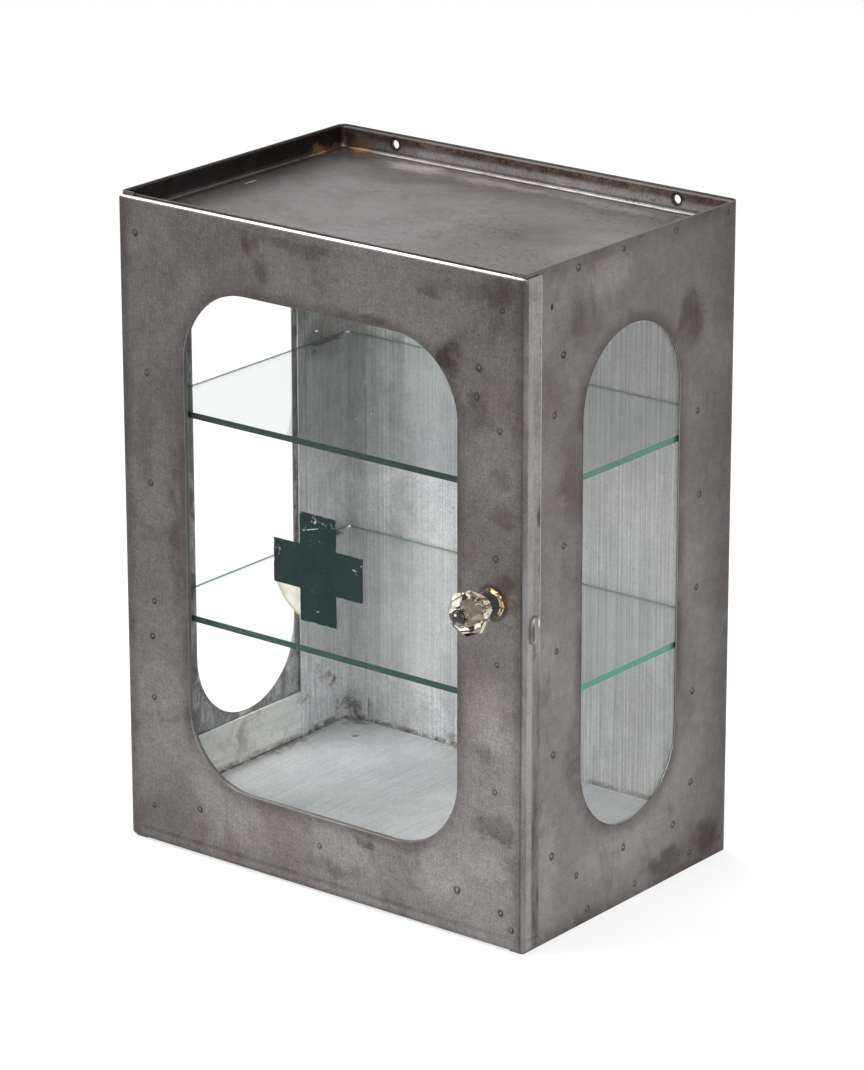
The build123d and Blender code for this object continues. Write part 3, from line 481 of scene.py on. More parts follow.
# painted highlight: a pale blue line down the bend of each rear post, below 300 to 400 mm
bend_painted_highlight = strips.times(
    strips.near(strips.x, 0.1862, 0.0010, 0.0022), strips.ramp(strips.y, 0.1240, 0.1255),
    strips.ramp(strips.z, 0.40, 0.30))
strip_dirt = strips.most(
    strips.ramp(strips.z, 0.0290, 0.0245, 0.06, 0.9), joggle_shade_and_dirt,
    strips.spots(((-182, 128, 34), (16, 20, 16), 0.9)))
enamel = old_enamel(strips, strip_dull, (420.0, 420.0, 22.0), strip_dirt)
rust_marks = strips.times(
    strips.spots(((-188, 94, 69), (9, 8, 6), 1.0), ((-188, 113, 57), (9, 9, 6), 1.0),
                 ((-188, 104, 66), (9, 14, 5), 0.7), ((-188, 76, 55), (9, 6, 8), 0.9)),
    strips.ramp(strips.noise(190.0, 5.0, 0.7), 0.40, 0.56))
colour = strips.coats(
    enamel[0], (strips.times(joggle_shade_and_dirt, 0.70), (0.085, 0.066, 0.058)),
    (strips.times(bend_painted_highlight, 0.6), (0.66, 0.72, 0.745)), (rust_marks, (0.16, 0.11, 0.065)))
brushed_with(strips, colour, enamel, "left_rear_post", "right_rear_post", "side_glass_tabs")

rail = Finish("rail_enamel")
rail_dirt = rail.most(
    rail.ramp(rail.z, 0.031, 0.0245), rail.ramp(rail.off(rail.y, 0.0), 0.058, 0.067, 0.0, 0.5),
    rail.times(rail.ramp(rail.noise(30.0, 6.0, 0.7, 1.0), 0.48, 0.66), 0.55))
enamel = old_enamel(rail, 0.0, (260.0, 14.0, 260.0), rail_dirt)
rail_spots = rail.times(rail_dirt, rail.ramp(rail.noise(95.0, 6.0, 0.7), 0.45, 0.62))
# the near-white band along the rail's top edge is a painted highlight
colour = rail.coats(
    enamel[0], (0.5, (0.74, 0.73, 0.67)), (rail.ramp(rail.z, 0.0612, 0.0618, 0.0, 0.9), (0.93, 0.93, 0.88)),
    (rail_spots, (0.24, 0.19, 0.13)))
brushed_with(rail, colour, enamel, "left_glass_rail", "right_glass_rail")

door_frame = Finish("door_frame_enamel")
enamel = old_enamel(door_frame, 0.35, (260.0, 260.0, 260.0), 0.25)
# the channel's enamel darkened to 0.72 is painted shade
brushed_with(door_frame, door_frame.shaded(enamel[0], 0.72), enamel, "door_glass_channel", "door_glass_bar")

post_steel = Finish("front_post_steel")
# shade 0.62 darkens the front posts' steel: painted shade
colour, rough, height = bare_steel(post_steel, 0.85, 0.62)
post_steel.set(Base_Color=colour, Roughness=rough, Metallic=bare_metal)
post_steel.relief(height, 0.3, coat_depth)
post_steel.coat_all("left_front_post", "right_front_post")

clip_enamel = Finish("clip_enamel")
enamel = old_enamel(clip_enamel, 0.70, (300.0, 300.0, 90.0), 0.4)
brushed_with(clip_enamel, enamel[0], enamel, "upper_shelf_clips", "lower_shelf_clips")


# Door panel
# A shallow pan pressed from one sheet, with rolled edges and a round-cornered window whose edge is turned in.
# Bare steel outside, with painted shade that darkens it towards the top and painted highlights on its bends,
# and enamelled inside.
def on_face(finish, *patches):
    """Torn patches on the door's face, each (x, z, half width, half height, strength)."""
    return finish.spots(*[((x, -133, z), (w, 20, h), share) for x, z, w, h, share in patches])


def door_face(name):
    """The door's outer steel, with its stains, painted light and shade, painted highlights on its bends and
    edges, and burnt spots.
    """
    finish = Finish(name)
    straight_x, straight_z = 0.070, 0.138
    over_x = finish.minus(finish.off(finish.x, 0.0), straight_x)
    over_z = finish.minus(finish.off(finish.z, window_height), straight_z)
    reach = finish.past_corner(over_x, over_z)
    flange = finish.ramp(finish.y, -0.1310, -0.1295)
    right_flange = finish.times(flange, finish.ramp(finish.x, 0.188, 0.190))
    edge_band = finish.times(finish.ramp(finish.off(finish.x, 0.0), 0.178, 0.1885), finish.rest(flange))
    stains = finish.most(
        finish.ramp(reach, 0.0605, 0.0720, 0.55, 0.0), finish.times(edge_band, 0.50),
        finish.ramp(finish.z, 0.006, 0.001, 0.0, 0.7),
        finish.times(finish.near(finish.z, 0.0105, 0.0008, 0.0024), 0.35),
        on_face(finish, (-62, 499, 16, 16, 0.8), (-52, 482, 10, 14, 0.7), (106, 496, 16, 9, 0.7),
                (170, 504, 20, 10, 0.6), (121, 446, 15, 22, 0.95), (151, 412, 17, 20, 0.5),
                (53, 463, 26, 7, 0.7), (176, 338, 18, 14, 0.6), (169, 366, 16, 12, 0.40),
                (158, 152, 18, 13, 0.7), (163, 95, 25, 13, 1.0), (176, 92, 12, 12, 0.9), (40, 49, 18, 6, 0.7),
                (16, 24, 34, 7, 0.5), (-184, 24, 12, 20, 0.6), (-138, 250, 10, 110, 0.45),
                (-170, 330, 14, 60, 0.3), (-20, 506, 90, 7, 0.45), (140, 500, 60, 9, 0.5)),
        # painted shadow: a dark ring round the knob's foot, partly dirt, and a dark band above the knob
        finish.times(finish.spot((163, -133, 270), (15.5, 20, 15.5), 0.82), 0.9),
        finish.times(finish.spot((174, -133, 288), (15, 20, 8), 0.2), 0.85))
    # painted light: lighter patches on the face. The shade below is painted shade: darker towards the top, on
    # the upper left stile and at the top right, with the right flange lighter towards the top
    lit = on_face(finish, (-45, 487, 30, 22, 0.16), (168, 400, 34, 84, 0.17), (-150, 130, 26, 80, 0.16),
                  (-75, 34, 60, 24, 0.22), (159, 180, 30, 44, 0.42), (155, 62, 34, 16, 0.24),
                  (112, 42, 40, 26, 0.26), (179, 276, 9, 5, 0.45), (176, 260, 9, 5, 0.40),
                  (20, 40, 120, 20, 0.15))
    top_right = finish.spot((175, -133, 500), (60, 20, 40), 0.1, True)
    left_stile = finish.times(finish.ramp(finish.x, -0.105, -0.150), finish.ramp(finish.z, 0.49, 0.46))
    shade = finish.times(
        finish.plus(lit, 1.0), finish.ramp(finish.z, 0.50, 0.02, 0.665, 1.02),
        finish.ramp(left_stile, 0.0, 1.0, 1.0, 0.78), finish.ramp(top_right, 0.0, 1.0, 1.0, 0.86))
    shade = finish.plus(shade, finish.times(right_flange, finish.ramp(finish.z, 0.05, 0.45, 0.18, 0.62)))
    colour, rough, height = bare_steel(finish, stains, shade)
    burnt = finish.cells(1.0, finish.stretch((90.0, 90.0, 34.0), (0.0, 0.37, 0.2)))
    burnt = finish.times(
        right_flange, finish.fade(burnt, 0.16, 0.34), finish.near(finish.y, -0.1172, 0.0012, 0.0030))
    tail = finish.most(finish.spots(((193, -121.5, 236), (8, 4.0, 9), 0.6)),
                       finish.times(finish.spot((193, -125.6, 251), (8, 1.8, 10), 0.4), 0.8))
    # painted highlight on the top of the catch's dimple
    dimple_painted_highlight = finish.spot((195, -119.4, 258), (4, 1.6, 5.0), 0.3)
    # painted highlight: a near-white line along the door's top bend, fading towards the right and broken up
    # by noise
    top_bend = finish.times(
        finish.near(finish.z, 0.51655, 0.00030, 0.00075), finish.ramp(finish.y, -0.1306, -0.1311),
        finish.ramp(finish.x, 0.02, 0.16, 1.0, 0.62))
    highlight_breakup = finish.noise(1.0, 4.0, 0.7, 0.0, finish.stretch((60.0, 400.0, 400.0)))
    gleam = finish.ramp(highlight_breakup, 0.34, 0.62, 0.45, 0.95)
    along = finish.noise(1.0, 4.0, 0.65, 0.0, finish.stretch((60.0, 60.0, 13.0)))
    # painted highlight: a light streaky line down the bend into the right flange
    side_bend_highlight = finish.times(finish.ramp(finish.x, 0.1896, 0.1906), finish.ramp(finish.y, -0.1215, -0.1255),
                             finish.ramp(along, 0.35, 0.62, 0.06, 0.40))
    bend_line = finish.times(
        finish.ramp(finish.off(finish.x, 0.1888), 0.0003, 0.0011, 0.55, 0.0),
        finish.ramp(finish.y, -0.1312, -0.1318))
    rear_half = finish.times(right_flange, finish.ramp(finish.y, -0.1255, -0.1220),
                             finish.ramp(finish.z, 0.250, 0.210), finish.ramp(along, 0.36, 0.58, 0.95, 0.45))
    # painted shade: a dark line behind the top bend, for the gap under the case's front lip
    top_gap_shade = finish.times(finish.ramp(finish.z, 0.5168, 0.5172), finish.ramp(finish.y, -0.1309, -0.1304))
    # painted highlight along the right flange's rear edge, above about 200 mm
    rear_edge_highlight = finish.times(
        right_flange, finish.ramp(finish.y, -0.1153, -0.1150), finish.ramp(finish.z, 0.19, 0.25, 0.1, 1.0))
    # painted highlight: a light line round the window's turned-in lip
    lip_highlight = finish.fade(reach, 0.0598, 0.0606)
    colour = finish.coats(
        colour, (side_bend_highlight, (0.36, 0.355, 0.37)), (rear_half, (0.070, 0.055, 0.047)), (bend_line, brown),
        (finish.times(burnt, 0.85), brown), (tail, (0.085, 0.058, 0.042)),
        (finish.times(dimple_painted_highlight, 0.8), (0.78, 0.76, 0.74)),
        (finish.times(top_bend, gleam), (0.86, 0.84, 0.82)),
        (finish.times(top_gap_shade, 0.85), (0.045, 0.030, 0.026)),
        (finish.times(rear_edge_highlight, 0.8), (0.55, 0.54, 0.52)), (finish.times(lip_highlight, 0.55), (0.40, 0.39, 0.38)))
    rough = finish.minus(rough, finish.times(top_bend, 0.20))
    return finish, (colour, rough, height), reach


door, door_steel, lip_reach = door_face("door_panel_steel")
over_side = door.minus(door.off(door.x, 0.0), 0.1892)
over_front = door.minus(door.times(door.y, -1.0), 0.1302)
over_end = door.minus(door.off(door.z, 0.25925), 0.25525)
depth = door.from_core(over_side, over_front, over_end)
door_inside = door.times(door.fade(depth, 0.0023, 0.0025), door.ramp(lip_reach, 0.0612, 0.0618))
door_enamel = old_enamel(door, 0.25, dirt=door.ramp(over_side, -0.006, 0.002, 0.0, 0.7))
# the inner enamel darkened to 0.80 is painted shade
two_faced(door, door_inside, door_steel, (door.shaded(door_enamel[0], 0.80), *door_enamel[1:]))
door.coat_all("door_panel")


# Window panes
# Three sheets of clear 3 mm window glass: one behind the door's window and one behind each side
# window. Lamps shine through them, and they carry a few specks of dust and old paint.
def clear_glass(name, pane, thin_axis, tint, edge_tint, end_tint, mirror, dust=0.0):
    """Clear sheet glass with green cut edges, found by how near they are to the pane's outline."""
    finish = Finish(name)
    low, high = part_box(pane)  # a shelf's middle is the case's, and its back edge has its own green
    finish.set(Base_Color=tint, Roughness=0.0, IOR=1.5, Transmission_Weight=1.0, Specular_Tint=mirror)
    to_edges, ground = [], (0.00025, 0.00040)
    for axis, place in enumerate((finish.x, finish.y, finish.z)):
        if axis != thin_axis:
            middle, half = (low[axis] + high[axis]) / 2, (high[axis] - low[axis]) / 2
            if axis == 0 and thin_axis == 2:
                middle = 0.0
            to_edges.append(finish.minus(half, finish.off(place, middle)))
    edge = finish.fade(finish.least(*to_edges), *ground)
    ends = finish.fade(to_edges[0], *ground)
    back = finish.ramp(finish.y, high[1] - 0.0010, high[1] - 0.0006) if thin_axis == 2 else 0.0
    # painted glints: lighter green streaks along the cut edges
    gleam = finish.noise(1.0, 3.0, 0.6, 0.0, finish.stretch((90.0, 90.0, 600.0)))
    edge_glass = finish.add("ShaderNodeBsdfPrincipled")
    brighter = tuple(min(1.0, 1.9 * c) for c in end_tint)
    finish.join(finish.coats(edge_tint, (ends, end_tint), (back, (0.24, 0.36, 0.28)),
                             (finish.ramp(gleam, 0.60, 0.78, 0.0, 0.14), brighter)),
                edge_glass.inputs["Base Color"])
    edge_glass.inputs["Roughness"].default_value = 0.25
    edge_glass.inputs["Specular IOR Level"].default_value = 0.08
    body = finish.either(edge, finish.shader.outputs[0], edge_glass.outputs[0])
    if dust:
        specks = finish.fade(finish.cells(150.0), 0.022, 0.034)
        specks = finish.times(specks, finish.ramp(finish.noise(31.0, 1.0), 0.60, 0.64), dust)
        few = [finish.spot(place, (0.55, 9, 0.75), 0.7)
               for place in ((42.1, -129, 413), (47.6, -129, 389.6), (33.4, -129, 383.1), (48.9, -129, 441.5),
                             (-3.8, -129, 443.3))]
        powder = finish.add("ShaderNodeBsdfPrincipled")
        powder.inputs["Base Color"].default_value = (0.80, 0.80, 0.76, 1.0)
        body = finish.either(finish.most(specks, *few), body, powder.outputs[0])
    # lamps shine straight through, and lose a little
    passing = finish.add("ShaderNodeBsdfTransparent")
    passing.inputs["Color"].default_value = (*[0.97 * t for t in tint], 1.0)
    for_lamps = finish.add("ShaderNodeLightPath").outputs["Is Shadow Ray"]
    finish.join(finish.either(for_lamps, body, passing.outputs[0]), finish.output.inputs["Surface"])
    finish.coat_all(pane)


pane_tint, pane_edge = (0.995, 0.997, 0.996), (0.045, 0.12, 0.10)
dull_mirror, clean_mirror = (0.20, 0.20, 0.20), (0.75, 0.75, 0.75)
for name, pane, thin_axis, dust in (("door_pane_glass", "door_glass", 1, 0.8),
                                    ("left_pane_glass", "left_side_glass", 0, 0.3),
                                    ("right_pane_glass", "right_side_glass", 0, 0.3)):
    clear_glass(name, pane, thin_axis, pane_tint, pane_edge, pane_edge, dull_mirror, dust)


# Shelves
# Two loose panes of heavier, greener glass with ground edges: dark green along the front, and a
# brighter green at the ends, where the light runs the length of the pane.
upper_tint, lower_tint = (0.825, 0.855, 0.840), (0.895, 0.920, 0.910)
clear_glass("upper_shelf_glass", "upper_shelf", 2, upper_tint, (0.003, 0.026, 0.017), (0.018, 0.125, 0.088),
            clean_mirror)
clear_glass("lower_shelf_glass", "lower_shelf", 2, lower_tint, (0.010, 0.060, 0.044), (0.014, 0.200, 0.138),
            clean_mirror)


# Hinges, pins, rivets, studs, nuts and catch
# Plain steel hardware, rubbed bright on its high spots and brown where dirt has settled.
hardware = Finish("hardware_steel_finish")
blots = hardware.noise(160.0, 4.0, 0.6, 0.3)
fine = hardware.noise(1500.0, 2.0)
hardware.set(Base_Color=hardware.coats((0.17, 0.15, 0.135),
                                       (hardware.ramp(blots, 0.36, 0.66), (0.29, 0.275, 0.265)),
                                       (hardware.ramp(fine, 0.4, 0.7, 0.0, 0.3), (0.10, 0.09, 0.085))),
             Metallic=0.95, Roughness=hardware.ramp(blots, 0.3, 0.7, 0.46, 0.34))
hardware.relief(fine, 0.2, 0.0001)
hardware.coat_all(
    "shelf_clip_rivets", "catch_spring", "catch_rivets", "upper_hinge_case_leaf", "lower_hinge_case_leaf",
    "upper_hinge_door_leaf", "lower_hinge_door_leaf", "upper_hinge_pin", "lower_hinge_pin",
    "hinge_case_rivets", "hinge_door_rivets", "door_bar_studs", "door_bar_nuts", "knob_nut")


# Knob
# A moulded eight-sided pull of faintly amber glass on a through bolt with a dark domed head, seated on a
# small brass washer. The glass is tinted browner towards its foot.
crystal = Finish("knob_crystal_glass")
crystal.set(Base_Color=crystal.coats((0.81, 0.75, 0.61),
                                     (crystal.ramp(crystal.y, -0.148, -0.139), (0.74, 0.52, 0.22))),
            Roughness=0.0, IOR=1.52, Transmission_Weight=1.0)
crystal.relief(crystal.noise(150.0, 2.0), 0.10, 0.0006)
crystal.coat_all("knob_glass")

bolt = Finish("knob_bolt_metal")
tarnish = bolt.noise(260.0, 4.0, 0.6)
# painted highlights: two near-white spots on the dark dome
rubbed = bolt.most(bolt.spot((162.6, -177, 272.6), (1.5, 8, 1.3), 0.5),
                   bolt.times(bolt.spot((165.0, -176, 266.0), (4.2, 8, 2.4), 0.1), 0.3))
bolt.set(Base_Color=bolt.coats((0.050, 0.045, 0.046), (bolt.ramp(tarnish, 0.45, 0.7), (0.095, 0.080, 0.072)),
                               (rubbed, (0.80, 0.79, 0.78)),
                               (bolt.ramp(bolt.y, -0.1725, -0.1715), (0.22, 0.135, 0.055))), Metallic=0.9,
         Roughness=bolt.ramp(tarnish, 0.3, 0.7, 0.10, 0.18))
bolt.coat_all("knob_bolt")

brass = Finish("knob_washer_brass")
brass.set(Base_Color=brass.coats((0.36, 0.22, 0.075),
                                 (brass.ramp(brass.noise(300.0), 0.4, 0.7), (0.16, 0.09, 0.035))),
          Metallic=0.9, Roughness=0.35)
brass.coat_all("knob_washer")


# Cross on the door glass
# A plain cross brushed on the front of the pane in dark green enamel, with a few small chips down
# to its white ground, over what is left of an older round label's cream glue.
def settle(piece, name, finish, body):
    """A finished piece gets its name, its finish, the body it rides on and the record's slot."""
    piece.name = name
    piece.data.name = name
    piece.data.materials.clear()
    piece.data.materials.append(finish.material)
    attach(piece, body)


def start(add, **place):
    """A primitive added alone, with its place baked into its mesh, opened for editing."""
    if bpy.context.object and bpy.context.object.mode == "EDIT":
        bpy.ops.object.mode_set(mode="OBJECT")
    bpy.ops.object.select_all(action="DESELECT")
    add(**place)
    bpy.ops.object.transform_apply(location=True, rotation=True, scale=True)
    bpy.ops.object.mode_set(mode="EDIT")
    return bpy.context.object


def pick(piece, kind, test):
    """Selects the corners, edges or faces of the piece whose middle passes the test."""
    bpy.ops.mesh.select_mode(type={"verts": "VERT", "edges": "EDGE", "faces": "FACE"}[kind])
    bpy.ops.mesh.select_all(action="DESELECT")
    shape = bmesh.from_edit_mesh(piece.data)
    for part in getattr(shape, kind):
        if kind == "verts":
            part.select = bool(test(part.co))
        elif kind == "edges":
            part.select = bool(test((part.verts[0].co + part.verts[1].co) / 2))
        else:
            part.select = bool(test(part.calc_center_median()))
    shape.select_flush_mode()
    bmesh.update_edit_mesh(piece.data)


def thicken(piece, thickness):
    """Grows the flat piece outwards by the thickness in mm, and ends its editing."""
    bpy.ops.object.mode_set(mode="OBJECT")
    bpy.ops.object.modifier_add(type="SOLIDIFY")
    piece.modifiers[-1].thickness = thickness * MM
    piece.modifiers[-1].offset = 1.0
    bpy.ops.object.modifier_apply(modifier=piece.modifiers[-1].name)


cross_x, cross_z = -3.8 * MM, 258.1 * MM
arm, half_arm, label_radius = 42.9 * MM, 17.5 * MM, 44.0 * MM
label_thickness, cross_thickness = 0.04, 0.10
pane_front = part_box("door_glass")[0][1]
upright = (math.pi / 2, 0.0, 0.0)

# what is left of the label is the quarter below the cross's left arm, and it runs 1 mm under the cross
label = start(bpy.ops.mesh.primitive_circle_add, vertices=96, radius=label_radius, fill_type="NGON",
              location=(cross_x, pane_front, cross_z), rotation=upright)
cut_x, cut_z = cross_x - half_arm + 1.0 * MM, cross_z - half_arm + 1.0 * MM
for cut_at, outward in (((cut_x, 0, 0), (1, 0, 0)), ((0, 0, cut_z), (0, 0, 1))):
    bpy.ops.mesh.select_all(action="SELECT")
    bpy.ops.mesh.bisect(plane_co=cut_at, plane_no=outward, use_fill=False, clear_outer=True)
thicken(label, label_thickness)
glue = Finish("old_label_glue")
from_middle = glue.span(glue.minus(glue.x, cross_x), glue.minus(glue.z, cross_z))
cream, pale, yellowed = (0.66, 0.63, 0.53), (0.80, 0.79, 0.72), (0.42, 0.33, 0.20)
glue.set(Base_Color=glue.coats(cream, (glue.ramp(glue.noise(90.0, 5.0, 0.65), 0.42, 0.62), pale),
                               (glue.ramp(from_middle, 0.0405, label_radius, 0.0, 0.75), yellowed)),
         Roughness=0.6)
settle(label, "door_glass_label_glue", glue, "door")

cross = start(bpy.ops.mesh.primitive_plane_add, size=2 * half_arm, location=(cross_x, pane_front, cross_z),
              rotation=upright)
for side_x, side_z in ((1, 0), (0, 1), (-1, 0), (0, -1)):
    edge_middle = (cross_x + half_arm * side_x, cross_z + half_arm * side_z)
    pick(cross, "edges", lambda at: math.dist((at.x, at.z), edge_middle) < 0.1 * MM)
    grow = ((arm - half_arm) * side_x, 0.0, (arm - half_arm) * side_z)
    bpy.ops.mesh.extrude_edges_move(TRANSFORM_OT_translate={"value": grow})
bpy.ops.mesh.select_all(action="SELECT")
bpy.ops.mesh.subdivide(number_cuts=11)
# small chips: some points of the outline are drawn in a little
chip_count, smallest, largest = 30, 0.25, 0.7
random.seed(11)
rim = [v.co.copy() for v in bmesh.from_edit_mesh(cross.data).verts if v.is_boundary]
for place in random.sample(rim, chip_count):
    inward = (cross_x - place.x, cross_z - place.z)
    size = math.hypot(*inward)
    chip = random.uniform(smallest, largest) * MM
    pick(cross, "verts", lambda at: (at - place).length < 0.01 * MM)
    bpy.ops.transform.translate(value=(chip * inward[0] / size, 0.0, chip * inward[1] / size))
thicken(cross, cross_thickness)
green = Finish("cross_green_enamel")
flakes = green.noise(150.0, 7.0, 0.74, 0.5)
near_tips = green.spots(
    ((-8, -129, 298), (16, 9, 9), 1.0), ((10, -129, 292), (16, 9, 16), 0.8),
    ((34, -129, 268), (12, 9, 12), 0.8), ((-42, -129, 272), (9, 9, 12), 0.9),
    ((-4, -129, 222), (14, 9, 12), 0.45), ((-12, -129, 268), (8, 9, 20), 0.5))
flaked = green.ramp(green.plus(flakes, green.times(near_tips, 0.085)), 0.655, 0.675)
leaning = green.plus(green.z, green.times(green.x, -0.28))
scratch = green.times(
    green.near(leaning, 0.2915, 0.0002, 0.0005), green.spot((-11, -129, 288.5), (9, 9, 5), 0.8),
    green.ramp(green.noise(600.0), 0.35, 0.5))
white = green.most(flaked, scratch)
tone = green.noise(45.0, 4.0)
deep_green, light_green, ground = (0.0035, 0.0175, 0.0170), (0.0060, 0.0255, 0.0245), (0.56, 0.57, 0.53)
green.set(Base_Color=green.coats(deep_green, (green.ramp(tone, 0.35, 0.65), light_green), (white, ground)),
          Roughness=green.ramp(tone, 0.3, 0.7, 0.5, 0.4), Specular_IOR_Level=0.2)
green.relief(white, 0.4, 0.0002)
settle(cross, "door_glass_cross", green, "door")


# Weld marks
# Shallow craters left by the spot welder where the posts, rails, pans and channel meet the sheet:
# a burnt brown ring, a tenth of a millimetre proud, round a lighter dished middle.
case_front_left = (190.0, 131.0)

# each weld's place in mm: along from the case's left edge, or back from its front, and its height
door_welds = [(14.7, 490), (23.3, 382), (25, 295), (26.4, 200), (24, 171), (24.3, 121), (22, 31), (69, 39),
              (188.5, 39), (320.5, 37), (361, 29), (371, 18), (361, 491), (340, 445), (338, 423),
              (358.6, 401), (355.6, 304), (356.8, 223), (355.4, 123.5)]
side_welds = [(45, 451), (35, 408), (47, 306), (39, 227), (36, 147), (35, 67), (213, 368), (217, 301),
              (215, 228), (212, 145), (211.5, 71), (189, 43), (125, 45), (66, 41.5), (140, 10.5), (80, 10),
              (211, 13), (250, 13), (62, 512), (117, 514), (182, 513), (248, 513)]

mark_radius = 3.0 * MM
crater = start(
    bpy.ops.mesh.primitive_circle_add, vertices=24, radius=mark_radius, fill_type="NGON", rotation=upright)
# rings from the rim to the middle: how far in each is, and how far it stands out (-) or sinks, in mm
for inset, sink in ((0.55, -0.10), (0.55, -0.02), (0.60, 0.11), (0.70, 0.03)):
    pick(crater, "faces", lambda at: math.hypot(at.x, at.z) < 0.2 * MM)
    bpy.ops.mesh.inset(thickness=inset * MM, depth=0.0)
    bpy.ops.transform.translate(value=(0.0, sink * MM, 0.0))
bpy.ops.object.mode_set(mode="OBJECT")
burn = crater.data.attributes.new("burn", "FLOAT", "POINT")
# burnt most in a ring 1.4 mm out, and more to one side: burn, with painted shade on that side of the raised
# ring
for corner in crater.data.vertices:
    out_by, lean = math.hypot(corner.co.x, corner.co.z) / MM, (corner.co.x - corner.co.z) / (5.0 * MM)
    burn.data[corner.index].value = max(0.0, min(1.0, 1.55 - abs(out_by - 1.4) / 1.25)) * (0.9 + 0.4 * lean)
bpy.ops.object.shade_smooth()


def weld_marks(name, places, turn, body, finish, steel):
    """Copies of the crater at every place, joined as one piece."""
    copies = []
    for place in places:
        copy = crater.copy()
        copy.data = crater.data.copy()
        bpy.context.scene.collection.objects.link(copy)
        size = random.uniform(0.95, 1.25)
        stretch = Matrix.Diagonal((size * random.uniform(0.85, 1.0), 1.0, size, 1.0))
        there = Matrix.Translation([p * MM for p in place])
        copy.matrix_world = there @ Matrix.Rotation(turn, 4, "Z") @ stretch
        copies.append(copy)
    bpy.ops.object.select_all(action="DESELECT")
    for copy in copies:
        copy.select_set(True)
    bpy.context.view_layer.objects.active = copies[0]
    bpy.ops.object.join()
    bpy.ops.object.transform_apply(location=True, rotation=True, scale=True)
    burn_share = finish.add("ShaderNodeAttribute", attribute_name="burn").outputs["Fac"]
    strength = finish.ramp(finish.noise(33.0, 2.0), 0.36, 0.56, 0.78, 1.0)
    ragged = finish.ramp(finish.noise(520.0, 3.0), 0.38, 0.55, 0.55, 1.0)
    burnt = finish.times(burn_share, strength, ragged)
    finish.set(Base_Color=finish.coats(steel[0], (burnt, (0.026, 0.020, 0.016))), Roughness=steel[1],
               Metallic=bare_metal)
    finish.relief(steel[2], 0.3, coat_depth)
    settle(copies[0], name, finish, body)


door_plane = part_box("door_panel")[0][1] / MM
side_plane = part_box("case_shell")[1][0] / MM
door_marks, marks_steel, _ = door_face("door_weld_steel")
weld_marks("door_weld_marks", [(u - case_front_left[0], door_plane, w) for u, w in door_welds], 0.0, "door",
           door_marks, marks_steel)
# the side marks' steel carries the same kind of painted shade as the sides, at 0.92
right_marks = Finish("right_side_weld_steel")
weld_marks("right_side_weld_marks", [(side_plane, v - case_front_left[1], w) for v, w in side_welds],
           math.pi / 2, "case", right_marks, bare_steel(right_marks, 0.25, 0.92))
left_marks = Finish("left_side_weld_steel")
left_places = [(-side_plane, v - case_front_left[1] + random.uniform(-3, 3), w + random.uniform(-5, 5))
               for v, w in side_welds if (v > 60 or w > 140) and 16 < w < 505]
weld_marks("left_side_weld_marks", left_places, -math.pi / 2, "case", left_marks,
           bare_steel(left_marks, 0.25, 0.92))
bpy.data.objects.remove(crater)


# Studio floor, lamps and camera
# A plain white floor that keeps a soft shadow, a white surround, and large soft lamps.
bpy.ops.mesh.primitive_plane_add(size=12.0, location=(0.0, 0.0, -0.0004))
floor = bpy.context.object
floor.name = "studio_floor"
floor_white = Finish("studio_floor_white")
floor_white.set(Base_Color=(0.80, 0.80, 0.80), Roughness=0.9, Specular_IOR_Level=0.0)
# seen directly, the floor is near white and keeps the shadow; its own light on the object is plainer
shown = floor_white.add("ShaderNodeBsdfDiffuse")
shown.inputs["Color"].default_value = (0.45, 0.45, 0.45, 1.0)
glow = floor_white.add("ShaderNodeEmission")
glow.inputs["Strength"].default_value = 0.64
lit = floor_white.add("ShaderNodeAddShader")
floor_white.join(shown.outputs[0], lit.inputs[0])
floor_white.join(glow.outputs[0], lit.inputs[1])
seen = floor_white.add("ShaderNodeLightPath")
seen_directly = floor_white.most(
    seen.outputs["Is Camera Ray"], seen.outputs["Is Glossy Ray"], seen.outputs["Is Transmission Ray"])
floor_white.join(floor_white.either(seen_directly, floor_white.shader.outputs[0], lit.outputs[0]),
                 floor_white.output.inputs["Surface"])
floor.data.materials.append(floor_white.material)

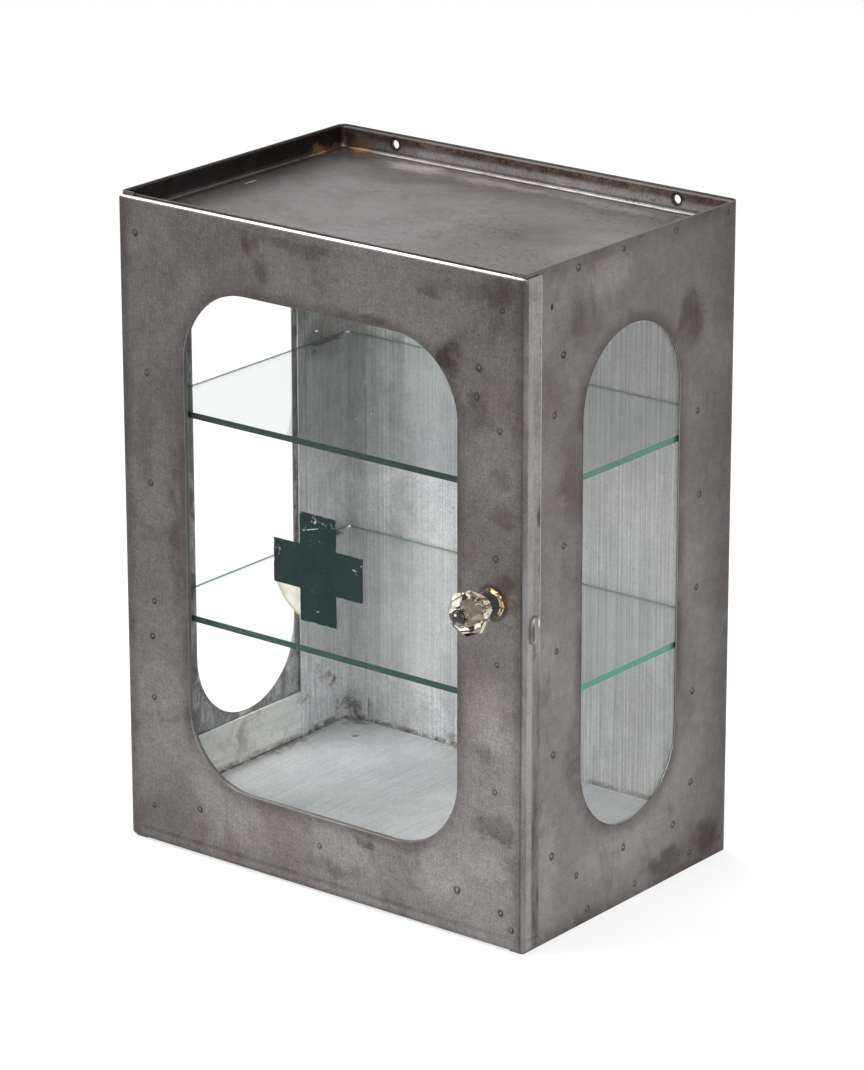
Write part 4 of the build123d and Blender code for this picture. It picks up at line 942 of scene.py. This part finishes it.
world = bpy.data.worlds.new("white_studio")
bpy.context.scene.world = world
world.use_nodes = True
sky = world.node_tree
path = sky.nodes.new("ShaderNodeLightPath")
seen = path.outputs["Is Camera Ray"]
for other in ("Is Glossy Ray", "Is Transmission Ray"):
    either = sky.nodes.new("ShaderNodeMath")
    either.operation = "MAXIMUM"
    sky.links.new(seen, either.inputs[0])
    sky.links.new(path.outputs[other], either.inputs[1])
    seen = either.outputs[0]
strength = sky.nodes.new("ShaderNodeMapRange")
strength.inputs["To Min"].default_value = 0.70  # what lights the object; what is seen of it is 1
sky.links.new(seen, strength.inputs["Value"])
sky.nodes["Background"].inputs["Color"].default_value = (1.0, 1.0, 1.0, 1.0)
sky.links.new(strength.outputs["Result"], sky.nodes["Background"].inputs["Strength"])


def soft_lamp(name, place, aim, width, height, power):
    """A rectangle of light of that width and height in metres, turned towards its aim."""
    light = bpy.data.lights.new(name, "AREA")
    light.shape = "RECTANGLE"
    light.size = width
    light.size_y = height
    light.energy = power
    lamp = bpy.data.objects.new(name, light)
    bpy.context.scene.collection.objects.link(lamp)
    lamp.location = place
    direction = [aim[i] - place[i] for i in range(3)]
    flat = math.hypot(direction[0], direction[1])
    lamp.rotation_euler = (math.atan2(flat, -direction[2]), 0.0, math.atan2(-direction[0], direction[1]))


middle, roof_middle = (0.0, 0.0, 0.26), (0.0, 0.0, 0.5)
soft_lamp("left_soft_lamp", (-1.6, -1.8, 1.7), middle, 1.2, 1.6, 30.0)
soft_lamp("right_soft_lamp", (2.1, -0.3, 1.3), middle, 1.0, 1.4, 18.0)
soft_lamp("top_soft_lamp", (-0.6, 0.15, 1.7), roof_middle, 1.0, 0.5, 12.0)

# The camera stands where the photograph's did: turned 38 degrees to the right and raised 19 degrees.
photo_width, focal_length = 864.0, 4927.6  # in the photograph's pixels
lens = bpy.data.cameras.new("photo_lens")
lens.sensor_fit = "HORIZONTAL"
lens.sensor_width = 36.0
lens.lens = lens.sensor_width * focal_length / photo_width
lens.clip_end = 50.0
camera = bpy.data.objects.new("photo_camera", lens)
bpy.context.scene.collection.objects.link(camera)
camera.location = (2.20562, -2.79386, 1.46327)
azimuth, elevation, roll = math.radians(38.261), math.radians(18.794), -0.0713
turned = Matrix.Rotation(azimuth, 3, "Z") @ Matrix.Rotation(math.pi / 2 - elevation, 3, "X")
camera.rotation_euler = (turned @ Matrix.Rotation(math.radians(roll), 3, "Z")).to_euler()
bpy.context.scene.camera = camera
bpy.context.scene.view_settings.view_transform = "Standard"
